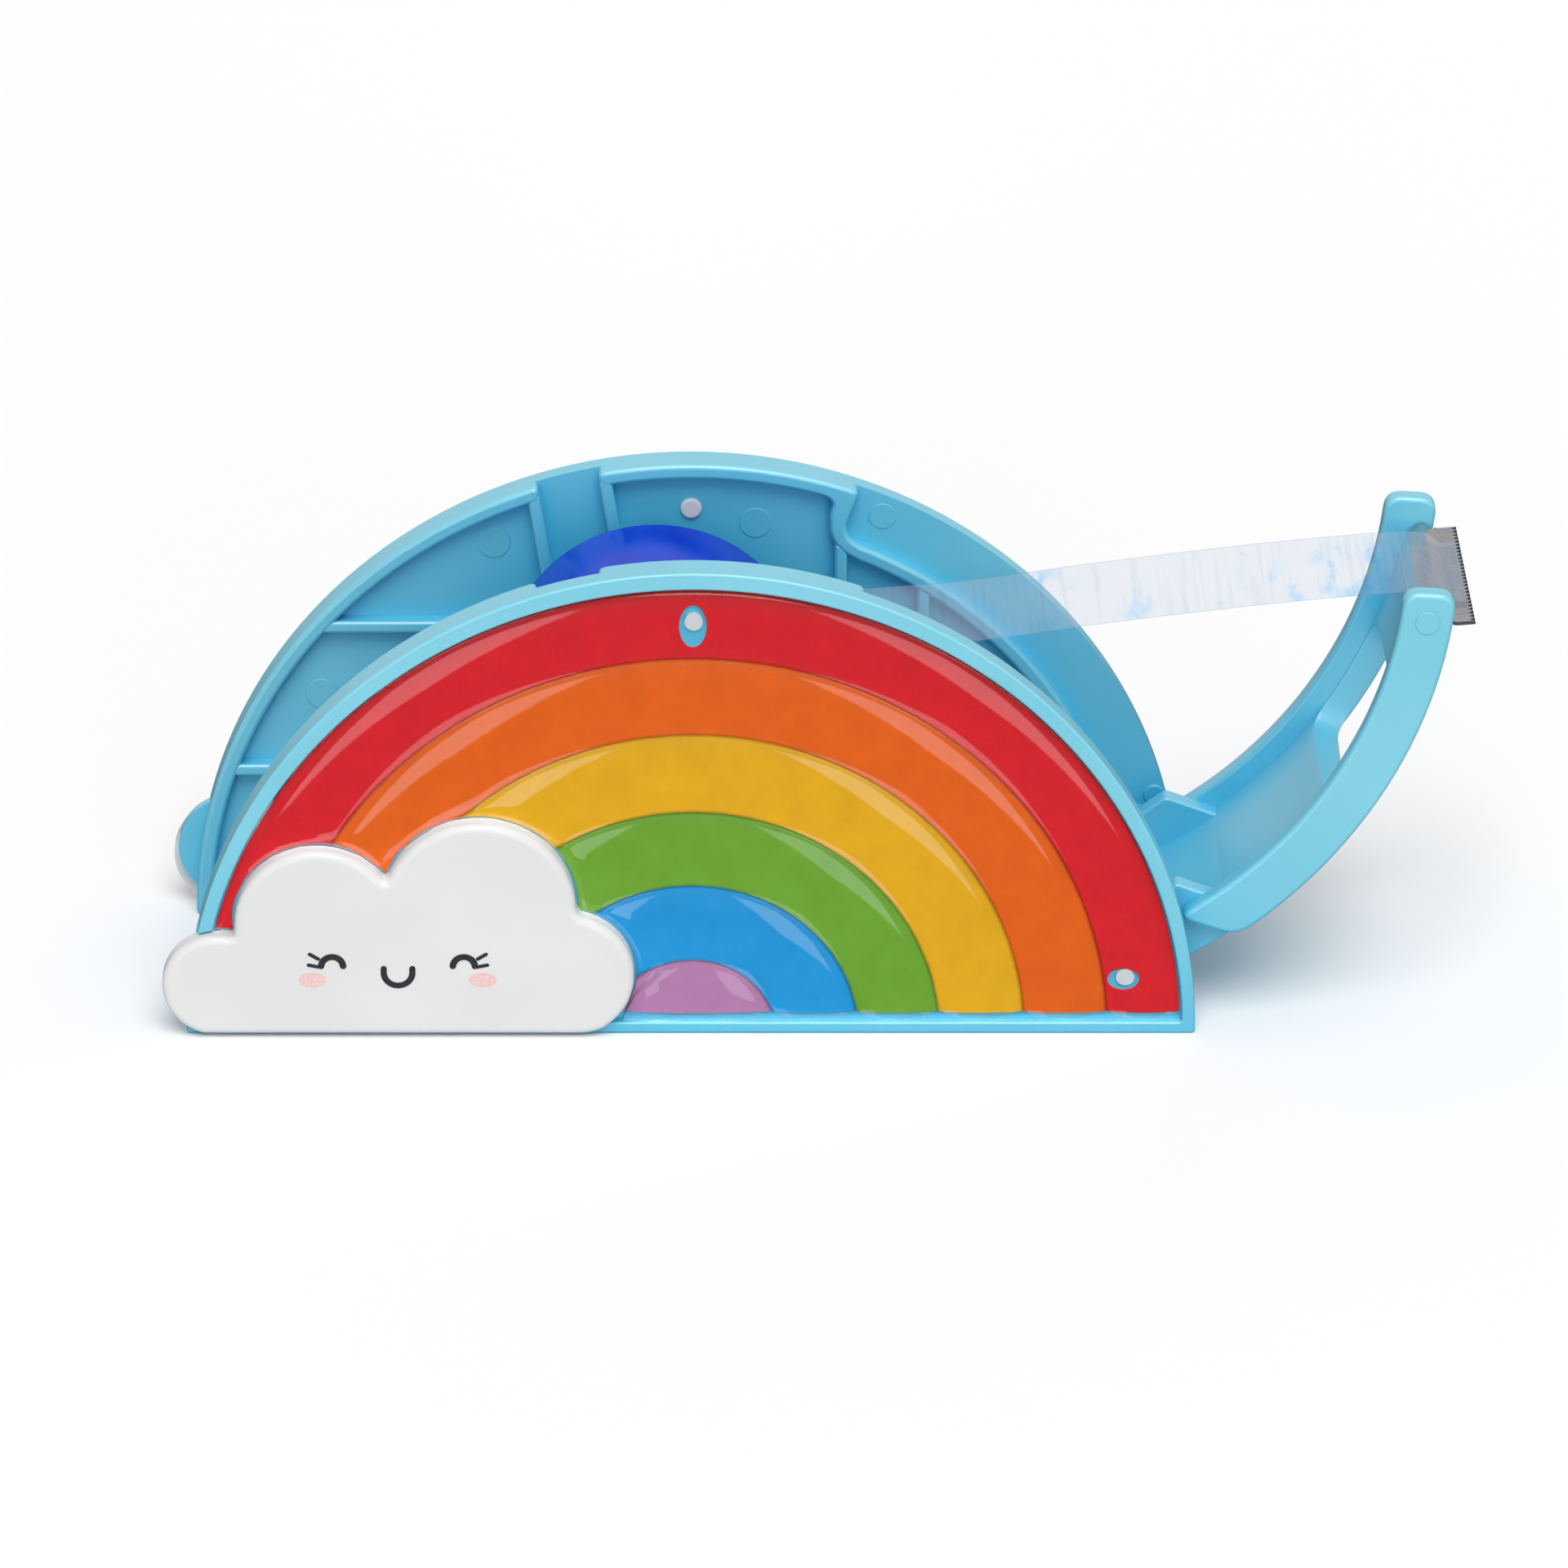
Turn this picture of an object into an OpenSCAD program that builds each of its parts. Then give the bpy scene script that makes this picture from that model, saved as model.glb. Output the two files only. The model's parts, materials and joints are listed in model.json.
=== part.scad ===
// Desk tape dispenser shaped like a rainbow arch, with a swing-out cutter arm.
// X runs along the length, Y through the depth (the front face is at -Y), Z is up.
// The origin is the centre of the arch on the resting plane, half way through the depth.

/* [Body] */
// Radius of the half-round arch
body_r = 62; // [60:0.5:64]
// Depth of the body, face to face
body_t = 37; // [36.5:0.5:38]
// Thickness of the moulded face panels
panel_t = 2.5; // [2.3:0.1:2.6]
// How deep the rims and ribs reach in from each face
rim_depth = 4.6; // [4.4:0.1:4.7]
// Wall thickness of the rims
wall = 2.0; // [1.6:0.1:2.2]
// Thickness of the guide ribs
rib_t = 1.6; // [1.2:0.1:1.8]

/* [Rainbow cover] */
// Depth of the recess that holds the print and the clear cover
recess_t = 1.2; // [1.0:0.1:1.3]
// Width of the face border around the recess
border = 1.6; // [1.3:0.1:1.8]
// How far below the arch's centre the rainbow is centred
band_drop = 0.6; // [0:0.1:0.8]
// Height of the face border along the bottom
sill = 1.5; // [1.2:0.1:2.0]
// Thickness of the printed card
print_t = 0.25; // [0.2:0.05:0.3]
// Thickness of the clear cover in the grooves between its bands
cover_t = 0.6; // [0.5:0.05:0.7]
// Height of each domed band over the grooves
dome_h = 0.9; // [0.6:0.1:1.0]

/* [Cloud] */
// How far the cloud badge stands out of the face
cloud_proud = 1.5; // [1.0:0.1:2.0]

/* [Cutter arm] */
// Outer width of the arm
arm_w = 31.4; // [30.4:0.1:31.4]
// Wall thickness of the arm's sides
arm_wall = 2.6; // [2.4:0.1:2.6]
// Thickness of the arm's curved floor
arm_floor = 3.2; // [2.6:0.1:3.2]
// How far the floor lies inside the outer edges of the arm's sides
floor_set = 0.5; // [0.3:0.1:0.8]
// Angle the arm swings through between open and closed
swing = 73; // [72.5:0.1:73]
// Radius of the hinge pin
pin_r = 1.5; // [1.2:0.1:1.6]
// Pitch of the cutter's teeth
tooth_pitch = 1.25; // [1:0.05:1.5]

/* [Tape] */
// Width of the tape
tape_w = 18; // [12:1:18]
// Outer radius of the wound roll
roll_r = 18.2; // [16:0.1:18.5]
// Inner radius of the tape's core
core_ri = 12.7; // [12.6:0.1:12.7]
// Wall thickness of the core
core_wall = 1.3; // [1:0.1:1.5]
// Thickness the tape is drawn at
film_t = 0.2; // [0.2:0.05:0.3]

/* [Hidden] */
$fn = 160;

sky = "skyblue";
eps = 0.1;
face_y = body_t / 2;                 // face plane, on either side
panel_y = face_y - panel_t;          // inner face of the panels
rim_y = face_y - rim_depth;          // inner ends of the rims and ribs
recess_y = face_y - recess_t;        // floor of the cover recess
recess_r = body_r - border;

// Hinge and the arm's closed shape, in polar form about the origin
pivot = [57, 10.4];
boss_r = 3.3;
lug_r = 4.6;
pin_half = face_y - 3.0;
pin_gap = 0.05;
arm_ri = 55.6;
arm_end_a = 69.3;
step_in = [53.9, 13.7];
step_out = [57.8, 19.8];
lug_step = 2.2;
lug_web = [[50.4, 15.1], [54.6, 20.6], [55.6, 22.5], [59.2, 21.5], [62.6, 10.8],
           [57, 10.4], [53.6, 8.4]];
floor_ro = body_r - floor_set;
floor_ri = floor_ro - arm_floor;
seat_a = 61.5;
// Cutter section: radius and closed angle at its heel, crest, valley and teeth
blade_path = [[58.9, 64.8], [60.3, 66.2], [62.4, 65.2], [64.9, 65.7]];
blade_t = 0.45;
blade_half = 14;
blade_seat_half = arm_w / 2 - arm_wall - 0.3;
tooth_depth = 0.8;
window_a = [38.1, 52.3];
window_half = 12.6;
bevel_a = 0.95;

// Arm recess in the shells: the rim ends here, and an inner wall carries on inside it
rim_end_a = 70.4;
inner_ri = 53.2;
inner_ro = 55.2;
inner_low_a = 14;
foot_rim_a = 9.8;

// Guide slot for the reel's stub axles
slot_top = [-16.2, 65.6];
slot_bend = [-12.3, 42.0];
reel_c = [-4.4, 38.1];
slot_w = 7.6;
seat_gap = 0.05;
stroke_ease = 0.02;
stub_r = 3.6;
shoulder_r = 6;

// Bottom flange, tray and screws
flange_h = 2.0;
flange_in = 10;
tray_x = [-54, 47];
tray_t = 1.6;
screw_x = [-44, 38];
screw_y = 13;
screw_r = 1.0;
screw_head_r = 1.9;
screw_len = 7;
tray_boss_r = 2.7;
tray_boss_h = 8.0;
pad_x = [-34, 26];
pad_size = [24, 14, 0.8];

// Cloud lobes: [x, z, radius]
lobes = [[-58.1, 7.0, 6.75], [-45.8, 15.2, 10.1], [-26, 17.2, 11.8], [-15.4, 8.2, 8.35]];
cloud_base = 0.5;
cloud_peg = [[-44, 13], [-25, 15]];
peg_r = 1.9;
cloud_screw_r = 1.1;
cloud_screw_head_r = 2.6;
front_lobe = [-58.1, 7.0, 6.1];
rear_lobe = [-57.2, 8.6, 7.0];

// Clear pins that hold the covers, staked over inside the shells
stake = [[0, 55.4], [53.3, 7.5]];
stake_r = 1.1;
stake_head_r = 1.35;
stake_head_h = 0.5;
// Openings in the print round the pins: centre, half length each way, width
print_slots = [[[-0.1, 54.8], [0, 1.0], 3.4], [[53.1, 7.2], [0.4, 0], 3.0]];

band_r = [10.35, 20.5, 30.5, 40.9, 51.1, 60.5];
band_chamfer = 1.8;

core_ro = core_ri + core_wall;
tape_half = tape_w / 2;

// Route of the free tape, from the roll's flank, in a slack dip, to the cutter's heel
strip_path = [[9.9, 50.1], [11.3, 48.6], [13.2, 47.6], [15.6, 47.2], [19, 47.25],
              [24, 47.7], [32, 48.4], [40, 49.5], [48, 50.75], [60, 52.4],
              [72, 53.9], [84, 55.1], [88.2, 55.4]];
// Tape stuck over the cutter, in the open arm's place
end_path = [[88.5, 55.4], [90.3, 55.3], [91.3, 54.7], [92.3, 54.0], [94.1, 54.2]];

function polar(r, a) = [r * cos(a), r * sin(a)];

// ---- shared helpers -------------------------------------------------------

// Stand a flat shape up in the XZ plane, between two depths
module slab(y0, y1) {
    translate([0, y1, 0])
        rotate([90, 0, 0])
            linear_extrude(height = y1 - y0)
                children();
}

// Do the same on both sides of the mid plane
module slab_pair(y0, y1) {
    slab(y0, y1) children();
    slab(-y1, -y0) children();
}

module half_disc(r, base = 0) {
    intersection() {
        circle(r);
        translate([-r - 1, base]) square([2 * r + 2, r + 2]);
    }
}

// Disc about the rainbow's centre, above a base line
module insert_disc(r, base) {
    intersection() {
        translate([0, -band_drop]) circle(r);
        translate([-r - 1, base]) square([2 * r + 2, r + 2]);
    }
}

// Pie slice of up to 180 degrees
module wedge(a0, a1, r) {
    mid = (a0 + a1) / 2;
    polygon([[0, 0], polar(r, a0), polar(r, (a0 + mid) / 2), polar(r, mid),
             polar(r, (a1 + mid) / 2), polar(r, a1)]);
}

module ring_part(r0, r1, a0, a1) {
    intersection() {
        difference() {
            circle(r1);
            circle(r0);
        }
        wedge(a0, a1, 2 * r1);
    }
}

module disc_at(p, r) {
    translate(p) circle(r);
}

// Straight stroke of a given width, with round ends a hair wider than its flat sides
module stroke(p, q, w) {
    d = q - p;
    disc_at(p, w / 2);
    disc_at(q, w / 2);
    translate(p)
        rotate(atan2(d[1], d[0]))
            translate([0, stroke_ease - w / 2])
                square([norm(d), w - 2 * stroke_ease]);
}

// Thin ribbon along a path, seen from the side
module ribbon(path, t) {
    n = len(path);
    function dir(i) = let(d = path[min(i + 1, n - 1)] - path[max(i - 1, 0)]) d / norm(d);
    function side(i, s) = path[i] + s * t / 2 * [-dir(i)[1], dir(i)[0]];
    polygon(concat([for (i = [0:n - 1]) side(i, 1)],
                   [for (i = [n - 1:-1:0]) side(i, -1)]));
}

// ---- housing --------------------------------------------------------------

module cloud_outline(grow = 0) {
    intersection() {
        union() {
            for (l = lobes) disc_at([l[0], l[1]], l[2] + grow);
            translate([lobes[0][0], cloud_base - grow])
                square([lobes[3][0] - lobes[0][0], lobes[0][2]]);
            translate([lobes[1][0], cloud_base - grow])
                square([lobes[2][0] - lobes[1][0], lobes[1][1] + 2]);
        }
        translate([-body_r - 6, cloud_base - grow]) square([2 * body_r, body_r]);
    }
}

// Guide slot: straight down through the rim, then off to the side to the seat
module slot_shape(w, seat_r) {
    stroke(slot_top, slot_bend, w);
    stroke(slot_bend, reel_c, w);
    disc_at(reel_c, seat_r);
}

module rim_shape() {
    difference() {
        union() {
            ring_part(body_r - wall, body_r, rim_end_a, 180);
            ring_part(body_r - wall, body_r, 0, foot_rim_a);
        }
        stroke(slot_top, slot_bend, slot_w);
    }
    ring_part(inner_ri, body_r, rim_end_a, rim_end_a + 2);
    ring_part(inner_ri, inner_ro, inner_low_a, rim_end_a + 2);
}

module rib_shape() {
    difference() {
        intersection() {
            slot_shape(slot_w + 2 * rib_t, slot_w / 2 + rib_t);
            half_disc(body_r - wall / 2);
        }
        stroke(slot_top, slot_bend, slot_w);
        stroke(slot_bend, reel_c, stub_r * 2 + 2 * seat_gap);
    }
    // stiffening ribs from the slot to the rim, and posts under the rim's end
    intersection() {
        union() {
            translate([-body_r, 39.1]) square([body_r - 18.2, rib_t]);
            translate([-body_r, 19.4]) square([body_r - 8, rib_t]);
            for (post = [[17.8, 47], [28.1, 42]])
                translate([post[0], 3.8]) square([rib_t, post[1]]);
        }
        half_disc(body_r - wall / 2);
        union() {
            ring_part(0, body_r, 71.5, 180);
            circle(inner_ro - 1);
        }
    }
}

// One moulded half, drawn as the front one
module shell(lobe) {
    difference() {
        union() {
            slab(-face_y, -panel_y) {
                half_disc(body_r);
                intersection() {
                    disc_at([lobe[0], lobe[1]], lobe[2]);
                    translate([-body_r - 10, 0]) square([body_r, body_r]);
                }
            }
            slab(-face_y, -rim_y) rim_shape();
            slab(-panel_y - eps, -rim_y) rib_shape();
            slab(-panel_y - eps, -rim_y) disc_at(pivot, boss_r);
            slab(-face_y, -flange_in)
                intersection() {
                    half_disc(body_r);
                    translate([-body_r + 3, 0]) square([body_r - 3 + tray_x[1] + 2, flange_h]);
                }
        }
        // recess for the print and the clear cover, and the cloud's seat
        slab(-face_y - 1, -recess_y) insert_disc(recess_r, sill);
        slab(-face_y - 1, -recess_y) cloud_outline(0.15);
        // blind bore for the hinge pin
        slab(-pin_half - eps, -rim_y + 1) disc_at(pivot, pin_r + 0.01);
        // holes for the staked pins and the cloud's pegs
        slab(-face_y - 1, -panel_y + 1) {
            for (s = stake) disc_at(s, stake_r + 0.05);
            for (p = cloud_peg) disc_at(p, peg_r + 0.05);
        }
        // screw holes through the bottom flange, with seats for the heads
        for (x = screw_x) translate([x, -screw_y, 0]) {
            translate([0, 0, -1]) cylinder(r = screw_r + 0.15, h = flange_h + 2);
            translate([0, 0, -1]) cylinder(r = screw_head_r + 0.1, h = 2.2);
        }
    }
}

module front_shell() {
    color(sky) shell(front_lobe);
}

module rear_shell() {
    color(sky) mirror([0, 1, 0]) shell(rear_lobe);
}

// Bridge that ties the two halves together at the bottom
module base_tray() {
    color(sky)
    difference() {
        union() {
            translate([tray_x[0], -flange_in + 0.1, 0])
                cube([tray_x[1] - tray_x[0], 2 * flange_in - 0.2, flange_h]);
            translate([tray_x[0], -panel_y + 0.2, flange_h])
                cube([tray_x[1] - tray_x[0], 2 * panel_y - 0.4, tray_t]);
            for (x = screw_x) for (s = [-1, 1])
                translate([x, s * screw_y, flange_h]) cylinder(r = tray_boss_r, h = tray_boss_h);
        }
        for (x = screw_x) for (s = [-1, 1])
            translate([x, s * screw_y, flange_h - 1]) cylinder(r = screw_r, h = screw_len);
        for (x = pad_x)
            translate([x - 0.1, -pad_size[1] / 2 - 0.1, -1])
                cube([pad_size[0] + 0.2, pad_size[1] + 0.2, pad_size[2] + 1]);
    }
}

module base_screws() {
    color("silver")
    for (x = screw_x) for (s = [-1, 1]) translate([x, s * screw_y, 0]) {
        translate([0, 0, 0.3]) cylinder(r = screw_head_r, h = 0.85);
        translate([0, 0, 1]) cylinder(r = screw_r - 0.02, h = screw_len - 0.2);
    }
}

module foot_pads() {
    color("dimgray")
    for (x = pad_x)
        translate([x, -pad_size[1] / 2, 0]) cube(pad_size);
}

// ---- rainbow print, clear cover and cloud, drawn for the front -------------

module insert_outline(r, base, gap) {
    difference() {
        insert_disc(r, base);
        cloud_outline(gap);
    }
}

module print_card() {
    slab(-recess_y - print_t, -recess_y)
        difference() {
            insert_outline(recess_r - 0.3, sill + 0.2, 0.35);
            for (s = print_slots) stroke(s[0] - s[1], s[0] + s[1], s[2]);
        }
}

module clear_cover() {
    back = recess_y + print_t;
    difference() {
        union() {
            slab(-back - cover_t, -back)
                insert_outline(recess_r - 0.2, sill + 0.1, 0.3);
            // each band is a low ridge with sloped sides
            intersection() {
                translate([0, 0, -band_drop])
                rotate([90, 0, 0])
                    rotate_extrude()
                        for (i = [0:len(band_r) - 1]) {
                            r0 = i == 0 ? 0 : band_r[i - 1] + 0.15;
                            r1 = band_r[i] - 0.15;
                            foot = back + cover_t - eps;
                            top = back + cover_t + dome_h;
                            polygon([[r0, foot], [r1, foot], [r1 - band_chamfer, top],
                                     [i == 0 ? 0 : r0 + band_chamfer, top]]);
                        }
                slab(-back - cover_t - dome_h - 1, -back)
                    insert_outline(recess_r - 0.2, sill + 0.1, 0.6);
            }
            for (s = stake) {
                slab(-back - eps, -panel_y) disc_at(s, stake_r);
                slab(-panel_y, -panel_y + stake_head_h) disc_at(s, stake_head_r);
            }
        }
    }
}

module cloud_badge() {
    difference() {
        union() {
            slab(-face_y - cloud_proud, -recess_y) cloud_outline();
            slab(-recess_y - eps, -panel_y)
                for (p = cloud_peg) disc_at(p, peg_r);
        }
        slab(-face_y, -panel_y + 1)
            for (p = cloud_peg) disc_at(p, cloud_screw_r);
    }
}

module front_print() {
    color("orange") print_card();
}

module rear_print() {
    color("orange") mirror([0, 1, 0]) print_card();
}

module front_cover() {
    color("aliceblue", 0.4) clear_cover();
}

module rear_cover() {
    color("aliceblue", 0.4) mirror([0, 1, 0]) clear_cover();
}

module front_cloud() {
    color("white") cloud_badge();
}

module rear_cloud() {
    color("white") mirror([0, 1, 0]) cloud_badge();
}

module cloud_screws() {
    color("silver")
    for (p = cloud_peg) {
        slab_pair(panel_y, face_y - 0.1) disc_at(p, cloud_screw_r - 0.02);
        slab_pair(panel_y - 1.2, panel_y) disc_at(p, cloud_screw_head_r);
    }
}

// ---- cutter arm: drawn closed, then swung open about the hinge -------------

module swung_open() {
    translate([pivot[0], 0, pivot[1]])
        rotate([0, swing, 0])
            translate([-pivot[0], 0, -pivot[1]])
                children();
}

// Side of the wide part, which stops along a slanted step above the hinge
module arm_side() {
    d = step_out - step_in;
    intersection() {
        ring_part(arm_ri, body_r, 5, arm_end_a);
        polygon([step_in - 2 * d, step_out + 3 * d, [0, 2 * body_r], [0, 0]]);
    }
}

module arm_lug() {
    intersection() {
        circle(body_r);
        union() {
            disc_at(pivot, lug_r);
            polygon(lug_web);
        }
    }
}

module blade_seat() {
    polygon(concat([polar(arm_ri + 2.6, seat_a)],
                   [for (i = [0:1]) polar(blade_path[i][0], blade_path[i][1] - 0.5)],
                   [polar(body_r - 0.1, blade_path[2][1] - 0.5), polar(body_r - 0.1, seat_a)]));
}

module cutter_arm() {
    out = arm_w / 2;
    in = out - arm_wall;
    lug_out = out - lug_step;
    lug_in = lug_out - arm_wall;
    color(sky)
    swung_open()
    difference() {
        union() {
            slab_pair(in, out) arm_side();
            slab_pair(lug_in, lug_out) arm_lug();
            slab(-in - eps, in + eps) {
                ring_part(floor_ri, floor_ro, 20, seat_a + 1);
                blade_seat();
            }
            slab(-lug_out, lug_out)
                ring_part(floor_ri, floor_ro, foot_rim_a, 21);
        }
        slab(-window_half, window_half)
            ring_part(floor_ri - 1, floor_ro + 1, window_a[0], window_a[1]);
        slab(-in, in)
            ring_part(floor_ri - 1, floor_ro - arm_floor / 2,
                      window_a[0] - bevel_a, window_a[1] + bevel_a);
        slab(-out, out) disc_at(pivot, pin_r + pin_gap);
    }
}

module cutter_blade() {
    color("dimgray")
    swung_open()
    difference() {
        union() {
            slab(-blade_seat_half, blade_seat_half)
                ribbon([for (i = [0:2]) polar(blade_path[i][0], blade_path[i][1])], blade_t);
            slab(-blade_half, blade_half)
                ribbon([for (i = [2:3]) polar(blade_path[i][0], blade_path[i][1])], blade_t);
        }
        rotate([0, -blade_path[3][1], 0])
            for (y = [-blade_half:tooth_pitch:blade_half])
                translate([blade_path[3][0], y, -1.5])
                    linear_extrude(height = 3)
                        polygon([[0.3, -tooth_pitch / 2], [-tooth_depth, 0], [0.3, tooth_pitch / 2]]);
    }
}

module hinge_pin() {
    color("gray")
    slab(-pin_half, pin_half) disc_at(pivot, pin_r);
}

// ---- reel and tape --------------------------------------------------------

module at_reel() {
    translate([reel_c[0], 0, reel_c[1]])
        rotate([90, 0, 0])
            children();
}

module reel_hub() {
    drum_r = core_ri - 0.05;
    drum_t = 1.6;
    web_t = 2;
    stub_end = panel_y - 0.4;
    shoulder = rim_y - 0.5;
    color("white")
    at_reel()
    rotate_extrude()
        polygon([[0, -stub_end], [stub_r, -stub_end], [stub_r, -shoulder], [shoulder_r, -shoulder],
                 [shoulder_r, -web_t], [drum_r - drum_t, -web_t], [drum_r - drum_t, -tape_half],
                 [drum_r, -tape_half], [drum_r, tape_half], [drum_r - drum_t, tape_half],
                 [drum_r - drum_t, web_t], [shoulder_r, web_t], [shoulder_r, shoulder],
                 [stub_r, shoulder], [stub_r, stub_end], [0, stub_end]]);
}

module tube(ro, ri, half) {
    at_reel()
    difference() {
        cylinder(r = ro, h = 2 * half, center = true);
        cylinder(r = ri, h = 2 * half + 2, center = true);
    }
}

module tape_core() {
    color("mediumpurple") tube(core_ro, core_ri, tape_half);
}

module tape_roll() {
    color("blue", 0.8) tube(roll_r, core_ro, tape_half);
}

module tape_strip() {
    color("lightcyan", 0.5)
    slab(-tape_half, tape_half) ribbon(strip_path, film_t);
}

module tape_end() {
    color("lightcyan", 0.5)
    slab(-tape_half, tape_half) ribbon(end_path, film_t);
}

front_shell();
rear_shell();
base_tray();
base_screws();
foot_pads();
front_print();
rear_print();
front_cover();
rear_cover();
front_cloud();
rear_cloud();
cloud_screws();
hinge_pin();
cutter_arm();
cutter_blade();
reel_hub();
tape_core();
tape_roll();
tape_strip();
tape_end();
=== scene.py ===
"""Looks for the rainbow desk tape dispenser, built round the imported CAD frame.

X runs towards the cutter arm, Y from front to rear and Z up. Lengths in the shape functions are
millimetres, and meshes are made in metres. Most pieces are plates: a flat outline, a list of (x, z)
points, between two depths along Y.
"""
import json
import math

import bpy
from mathutils import Matrix, Vector
from mathutils.geometry import tessellate_polygon


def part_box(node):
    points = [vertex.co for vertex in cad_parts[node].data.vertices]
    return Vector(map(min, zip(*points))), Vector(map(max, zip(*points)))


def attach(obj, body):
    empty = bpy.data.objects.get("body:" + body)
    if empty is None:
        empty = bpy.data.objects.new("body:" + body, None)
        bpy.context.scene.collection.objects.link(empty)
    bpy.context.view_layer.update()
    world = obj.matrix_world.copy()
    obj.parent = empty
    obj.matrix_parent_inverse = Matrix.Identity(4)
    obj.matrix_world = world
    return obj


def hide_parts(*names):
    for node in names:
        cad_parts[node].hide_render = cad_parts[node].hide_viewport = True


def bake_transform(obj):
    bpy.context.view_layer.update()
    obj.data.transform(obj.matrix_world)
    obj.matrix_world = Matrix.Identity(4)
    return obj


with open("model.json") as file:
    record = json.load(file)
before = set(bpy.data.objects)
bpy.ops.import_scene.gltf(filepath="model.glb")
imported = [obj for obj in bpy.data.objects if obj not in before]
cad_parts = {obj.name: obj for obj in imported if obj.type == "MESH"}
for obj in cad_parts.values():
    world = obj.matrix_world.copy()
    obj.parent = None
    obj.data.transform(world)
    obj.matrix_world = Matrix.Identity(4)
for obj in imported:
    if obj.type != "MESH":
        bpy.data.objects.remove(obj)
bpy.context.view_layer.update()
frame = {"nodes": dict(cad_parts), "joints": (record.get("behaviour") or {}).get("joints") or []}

MM = 0.001


def box_mm(node):
    low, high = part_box(node)
    return low / MM, high / MM


def joint(name):
    return next(j for j in frame["joints"] if j["name"] == name)


def axis_mm(name):
    x, _, z = joint(name)["pos_m"]
    return x / MM, z / MM


# ---- sizes ----

# read from the frame
SHELL_LO, SHELL_HI = box_mm("front_shell")
ROLL_LO, ROLL_HI = box_mm("tape_roll")
CORE_LO, CORE_HI = box_mm("tape_core")
CLOUD_Y = -box_mm("front_cloud")[0].y
COVER_Y = -box_mm("front_cover")[0].y
STUB_Y = box_mm("reel_hub")[1].y
REEL = axis_mm("reel_spin")
PIVOT = axis_mm("arm_hinge")
SWING = joint("arm_hinge")["range_deg"][1]
BODY_R = SHELL_HI.z
ROLL_R = (ROLL_HI.z - ROLL_LO.z) / 2
CORE_R = (CORE_HI.z - CORE_LO.z) / 2
TAPE_HALF = ROLL_HI.y

# sides of the housing: distances from the middle plane, then the rest
FACE_Y = -SHELL_LO.y            # front of the raised border
RECESS_Y = FACE_Y - 1.2         # floor of the recess that holds the card and its cover
PANEL_Y = FACE_Y - 2.5          # inner face of the panel
RIM_Y = FACE_Y - 4.6            # inner end of the rim and the ribs
ROOT = 0.3                      # how deep a rib's root stands in the panel
RECESS_R = BODY_R - 1.6
RIM_RI = BODY_R - 2.0
RIB = 1.6
SILL = 1.5                      # height of the recess's base line
SLOT = [(-16.2, 65.6), (-12.3, 42.0), REEL]
SLOT_HALF = 3.75
RIM_END = 70.4                  # angle at which the inner wall leaves the rim
CARD = 0.25                     # thickness of the printed card
PINS = [(0, 55.4), (53.3, 7.5)]
PIN_R = 1.1

# rainbow and cloud, where a lobe is (x, z, radius)
MIDDLE = (0, -0.6)
BAND_R = [10.35, 20.5, 30.5, 40.9, 51.1, 60.5]
LOBES = [(-58.1, 7.0, 6.75), (-45.8, 15.2, 10.1), (-26.0, 17.2, 11.8), (-15.4, 8.2, 8.35)]
CLOUD_BASE = 0.5
SHELL_LOBE = {"front": (-58.1, 7.0, 6.1), "rear": (-57.2, 8.6, 7.0)}

# cutter arm, closed: radii and angles about the arch's centre, half widths along Y
ARM_RI = 55.6
ARM_END = 69.3
ARM_IN, ARM_OUT = 13.1, 15.7
LUG_IN, LUG_OUT = 10.9, 13.5
LUG_R = 4.6
FLOOR_RI, FLOOR_RO = 58.3, 61.5
WINDOW = (38.1, 52.3, 12.6)     # first angle, last angle, half width
BLADE = [(58.9, 64.8), (60.3, 66.2), (62.4, 65.2), (64.9, 65.7)]
BLADE_HALF, BLADE_THICK = 14.0, 0.44
TOOTH_PITCH, TOOTH_DEPTH = 1.0, 0.65
FILM_THICK = 0.08


# ---- flat outlines ----

def polar(r, a, c=(0, 0)):
    return c[0] + r * math.cos(math.radians(a)), c[1] + r * math.sin(math.radians(a))


def arc(r, a0, a1, c=(0, 0), step=2.0):
    n = max(2, int(abs(a1 - a0) / step) + 1)
    return [polar(r, a0 + (a1 - a0) * i / n, c) for i in range(n + 1)]


def ring(c, r, n=48):
    return arc(r, 0, 360, c, 360 / n)[:-1]


def area(loop):
    """Signed, positive if the outline runs anticlockwise."""
    return sum(a[0] * b[1] - b[0] * a[1] for a, b in zip(loop, loop[1:] + loop[:1])) / 2


def crossings(a, b):
    """Where two circles (x, z, r) cross, the upper point first."""
    d = Vector((b[0] - a[0], b[1] - a[1]))
    along = (a[2] ** 2 - b[2] ** 2 + d.length_squared) / (2 * d.length)
    half = math.sqrt(max(a[2] ** 2 - along ** 2, 0))
    u = d.normalized()
    mid = Vector(a[:2]) + u * along
    side = Vector((-u.y, u.x)) * half
    return sorted([tuple(mid + side), tuple(mid - side)], key=lambda p: -p[1])


def on_circle(p, d, r):
    """The upper point where a line through p along d meets the circle of radius r about the origin."""
    p, d = Vector(p), Vector(d).normalized()
    along = p.dot(d)
    root = math.sqrt(max(along ** 2 - p.length_squared + r * r, 0))
    ends = [tuple(p + d * (root - along)), tuple(p - d * (root + along))]
    return max(ends, key=lambda q: q[1])


def angle_of(p, c=(0, 0)):
    return math.degrees(math.atan2(p[1] - c[1], p[0] - c[0]))


def arc_between(c, r, start, end, sign):
    """Arc about c from one point to another, anticlockwise if sign is 1."""
    a0, a1 = angle_of(start, c), angle_of(end, c)
    while sign * (a1 - a0) <= 0:
        a1 += sign * 360
    return arc(r, a0, a1, c, 4)


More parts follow.
